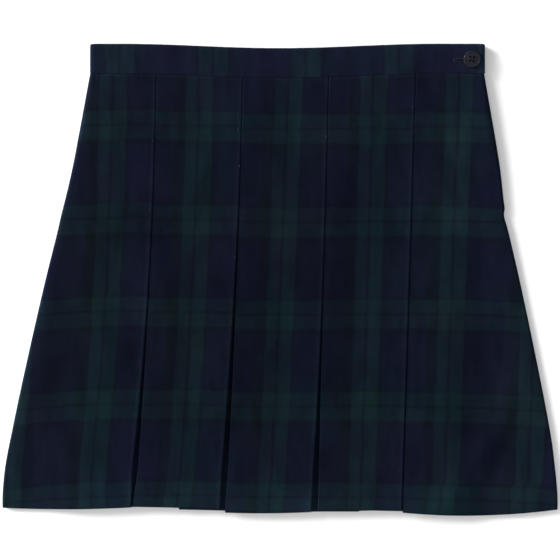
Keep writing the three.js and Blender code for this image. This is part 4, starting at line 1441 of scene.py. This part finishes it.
class SKIRT_OT_button(bpy.types.Operator):
    """Turns the four-hole button and sews it on through the buttonhole"""

    bl_idname = "skirt.button"
    bl_label = "Button"

    def execute(self, context):
        looks = settings()[1]
        corners, faces = lathe(np.array(BUTTON_PROFILE) * (BUTTON_RADIUS, 1), 72)
        corners = corners + (BUTTON_X, BUTTON_Y, BUTTON_BASE)
        button = add_piece("button_disc", corners, faces, button_material(looks), "button_plastic")
        for dx in HOLE_SIDES:
            for dy in HOLE_SIDES:
                path = [[(*on_button(dx, dy), BUTTON_BASE + h) for h in HOLE_LEVELS]]
                cut(button, *tubes(path, BUTTON_HOLE_RADIUS, 20))
        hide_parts("button")

        strands = joined(tubes(strand_paths(), 0.19, 7), tubes(shank_paths(), 0.16, 6))
        material = thread_material("button_thread_cotton", [1.5 * part for part in looks.thread])
        thread = add_piece("button_strands", *strands, material, "sewing_thread")
        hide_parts("button_thread")
        return {"FINISHED"}


# Short stitches that hold the pleats shut, where they show: x, y and how they lie.
PLEAT_STITCHES = (
    (-35.7, 138.1, 80),
    (-35.5, 127.1, 96),
    (-34.6, 96.5, 88),
    (-110.5, 59.9, 84),
    (-38.3, 19.1, 97),
    (112.6, 146.6, 86),
    (39.6, 121.0, 92),
    (-108.4, 118.0, 90),
)
PLEAT_STITCH = 1.9              # their length
PLEAT_STITCH_LOOKS = 1.6        # how far to both sides the higher strip is looked for
FACES_UP = 0.6                  # the least share of the way out that points up on an outer face
OUTER_DEPTH = 6.5               # the outer layer lies no further than this below its highest place
HEM_SIDES_CLEAR = 4             # between the hem's stitches and the side edges
HEM_LINES_CLEAR = 5             # between the hem's stitches and the pleat lines


def on_front(sizes, share, x):
    """Height of the front's outer face and its Y, at places x at one share of the way down."""
    section = Section(FRONT, [share], sizes).whole()[0]
    waist = Section(FRONT, [0.0], sizes).whole()[0]
    outer = (section[:, 3] > FACES_UP) & (section[:, 1] > section[:, 1].max() - OUTER_DEPTH)
    y = lerp(waist_top(waist[:, 0]), WAIST_Y - section[:, 4], share)[outer]
    order = np.argsort(section[outer, 0])
    xs, zs = section[outer, 0][order], section[outer, 1][order]
    return np.interp(x, xs, zs) + WALL / 2, np.interp(x, xs, y[order])


def buttonhole_paths(count):
    """Stitches side by side round the buttonhole, from just inside its cut over a low bulge out
    to a ring round it, with both ends sunk into the cloth."""
    inner = (BUTTONHOLE_LEFT + 0.2, BUTTONHOLE_RIGHT - 0.2, BUTTONHOLE_Y, BUTTONHOLE_HALF_CUT - 0.3)
    outer = (BUTTONHOLE_LEFT - 1.3, BUTTONHOLE_RIGHT + 1.3, BUTTONHOLE_Y, 2.0)
    inner, outer = [stadium(*ring, 60) for ring in (inner, outer)]
    inner, outer = [np.concatenate([ring, ring[:1]]) for ring in (inner, outer)]
    walked = np.concatenate([[0], np.cumsum(np.linalg.norm(np.diff(outer, axis=0), axis=1))])
    at = np.linspace(0, walked[-1], count, endpoint=False)
    ends = [np.stack([np.interp(at, walked, ring[:, i]) for i in range(2)], -1) for ring in (inner, outer)]
    s = np.linspace(0, 1, 7)
    flat = lerp(ends[0][:, None], ends[1][:, None], s[None, :, None])
    top = BAND_FRONT_LEVEL + BAND_WALL / 2 + 0.16
    height = top + 0.14 * np.sin(math.pi * np.clip(s * 0.85 + 0.12, 0, 1))
    height = height - 0.5 * (s < 0.05) - 0.25 * (s > 0.95)
    return np.concatenate([flat, np.broadcast_to(height[None, :, None], (count, len(s), 1))], -1)


def pleat_stitch_paths(sizes):
    """A low arch over each pleat line, above the higher one of its two strips."""
    t = np.linspace(-0.5, 0.5, 6)
    paths = []
    for x, y, degrees in PLEAT_STITCHES:
        turn = math.radians(degrees)
        beside = x + np.array([-PLEAT_STITCH_LOOKS, PLEAT_STITCH_LOOKS])
        z = on_front(sizes, (WAIST_Y - y) / LENGTH, beside)[0].max()
        dx, dy = PLEAT_STITCH * math.cos(turn), PLEAT_STITCH * math.sin(turn)
        paths.append(np.stack([x + dx * t, y + dy * t, z + 0.35 - 0.8 * t**2], -1))
    return paths


def hem_stitch_paths(sizes):
    """Pricks of thread in a slightly wandering row at the top of the turned-up hem, clear of the
    pleat lines."""
    share = 1 - sizes.hem_depth / MM / LENGTH
    places = Section(FRONT, [share], sizes).whole()[0][:, 0]
    first, last = places.min() + HEM_SIDES_CLEAR, places.max() - HEM_SIDES_CLEAR
    x = np.arange(first, last, sizes.hem_stitch / MM)
    for line in FRONT_LINES:
        at = through_three(line["waist"], line["middle"], line["hem"], share)
        x = x[np.abs(x - at) > HEM_LINES_CLEAR]
    z, y = on_front(sizes, share, x)
    y = y + 0.35 * np.sin(x * 1.7)
    t = np.linspace(-0.5, 0.5, 5)
    return np.stack([x[:, None] + 0.9 * t, y[:, None] + 0.12 * t, z[:, None] + 0.02 - 0.5 * t**2], -1)


class SKIRT_OT_stitches(bpy.types.Operator):
    """Sews the buttonhole, the pleats and the hem"""

    bl_idname = "skirt.stitches"
    bl_label = "Stitching"

    def execute(self, context):
        sizes, looks = settings()
        silk = thread_material("buttonhole_silk", looks.stitching)
        pale = thread_material("pleat_silk", [2.6 * part for part in looks.stitching])
        dark = thread_material("hem_thread_cotton", looks.thread)
        rows = {
            "buttonhole_stitches": (buttonhole_paths(sizes.buttonhole_threads), 0.17, silk),
            "pleat_stitches": (pleat_stitch_paths(sizes), 0.26, pale),
            "hem_stitches": (hem_stitch_paths(sizes), 0.13, dark),
        }
        for name, (paths, radius, material) in rows.items():
            add_piece(name, *tubes(paths, radius, 6), material, "sewing_thread")
        return {"FINISHED"}


CAMERA_HEIGHT = 3.2
SENSOR = 36.0
FRAME_WIDTH = 0.476             # what the picture shows of the table, across
PICTURE_MIDDLE = (0.0, -0.0004)


# The lights, all aimed at the origin: place in metres, size, power and colour.
LIGHTS = {
    "key": ((-3.9, 1.8, 1.3), 2.7, 640.0, (1.0, 0.99, 0.97)),
    "fill": ((3.4, -1.4, 2.4), 2.8, 48.0, (0.97, 0.98, 1.0)),
    "glint": ((-2.0, -0.25, 1.8), 0.35, 13.0, (1.0, 1.0, 1.0)),
}
WORLD_STRENGTH = 0.55
FLOOR_HALF = 3.0
FLOOR_LEVEL = -0.0001


def add_area_light(name, place, size, power, colour):
    """A round light at a place, turned to face the origin."""
    light = bpy.data.lights.new(name, "AREA")
    light.shape = "DISK"
    light.size = size
    light.energy = power
    light.color = colour
    lamp = bpy.data.objects.new(name, light)
    bpy.context.scene.collection.objects.link(lamp)
    lamp.location = place
    x, y, z = place
    lamp.rotation_euler = (math.atan2(math.hypot(x, y), z), 0, math.atan2(-y, -x) - math.pi / 2)


class SKIRT_OT_stage(bpy.types.Operator):
    """Sets the pale floor, the soft studio light and the camera straight above"""

    bl_idname = "skirt.stage"
    bl_label = "Stage"

    def execute(self, context):
        looks = settings()[1]
        mesh = bpy.data.meshes.new("floor")
        sides = ((-1, -1), (1, -1), (1, 1), (-1, 1))
        corners = [(FLOOR_HALF * x, FLOOR_HALF * y, FLOOR_LEVEL) for x, y in sides]
        mesh.from_pydata(corners, [], [(0, 1, 2, 3)])
        mesh.materials.append(floor_material(looks))
        floor = bpy.data.objects.new("floor", mesh)
        bpy.context.scene.collection.objects.link(floor)

        world = bpy.data.worlds.new("studio")
        world.use_nodes = True
        background = world.node_tree.nodes["Background"]
        background.inputs["Color"].default_value = (1.0, 1.0, 1.0, 1.0)
        background.inputs["Strength"].default_value = WORLD_STRENGTH
        bpy.context.scene.world = world
        bpy.context.scene.view_settings.view_transform = "Standard"
        for name, light in LIGHTS.items():
            add_area_light(name, *light)

        lens = bpy.data.cameras.new("camera")
        lens.type = "PERSP"
        lens.sensor_fit = "HORIZONTAL"
        lens.sensor_width = SENSOR
        lens.lens = SENSOR * CAMERA_HEIGHT / FRAME_WIDTH
        lens.clip_end = 20
        camera = bpy.data.objects.new("camera", lens)
        camera.location = (*PICTURE_MIDDLE, CAMERA_HEIGHT + BOX_LEVEL * MM)
        bpy.context.scene.collection.objects.link(camera)
        bpy.context.scene.camera = camera
        return {"FINISHED"}


OPERATORS = (
    SKIRT_OT_back,
    SKIRT_OT_front,
    SKIRT_OT_waistband,
    SKIRT_OT_zip,
    SKIRT_OT_button,
    SKIRT_OT_stitches,
    SKIRT_OT_stage,
)


class SKIRT_PT_panel(bpy.types.Panel):
    """The skirt's sizes, its colours and a button for each of its pieces"""

    bl_idname = "SKIRT_PT_panel"
    bl_label = "Box pleat skirt"
    bl_space_type = "VIEW_3D"
    bl_region_type = "UI"
    bl_category = "Skirt"

    def draw(self, context):
        for group in (context.scene.skirt_sizes, context.scene.skirt_looks):
            column = self.layout.column(align=True)
            for name in type(group).__annotations__:
                column.prop(group, name)
        for operator in OPERATORS:
            self.layout.operator(operator.bl_idname)


CLASSES = (SkirtSizes, SkirtLooks, *OPERATORS, SKIRT_PT_panel)


def register():
    for made in CLASSES:
        bpy.utils.register_class(made)
    bpy.types.Scene.skirt_sizes = PointerProperty(type=SkirtSizes)
    bpy.types.Scene.skirt_looks = PointerProperty(type=SkirtLooks)


def unregister():
    del bpy.types.Scene.skirt_looks
    del bpy.types.Scene.skirt_sizes
    for made in reversed(CLASSES):
        bpy.utils.unregister_class(made)


def main():
    register()
    for operator in OPERATORS:
        group, name = operator.bl_idname.split(".")
        getattr(getattr(bpy.ops, group), name)()


if __name__ == "__main__":
    main()
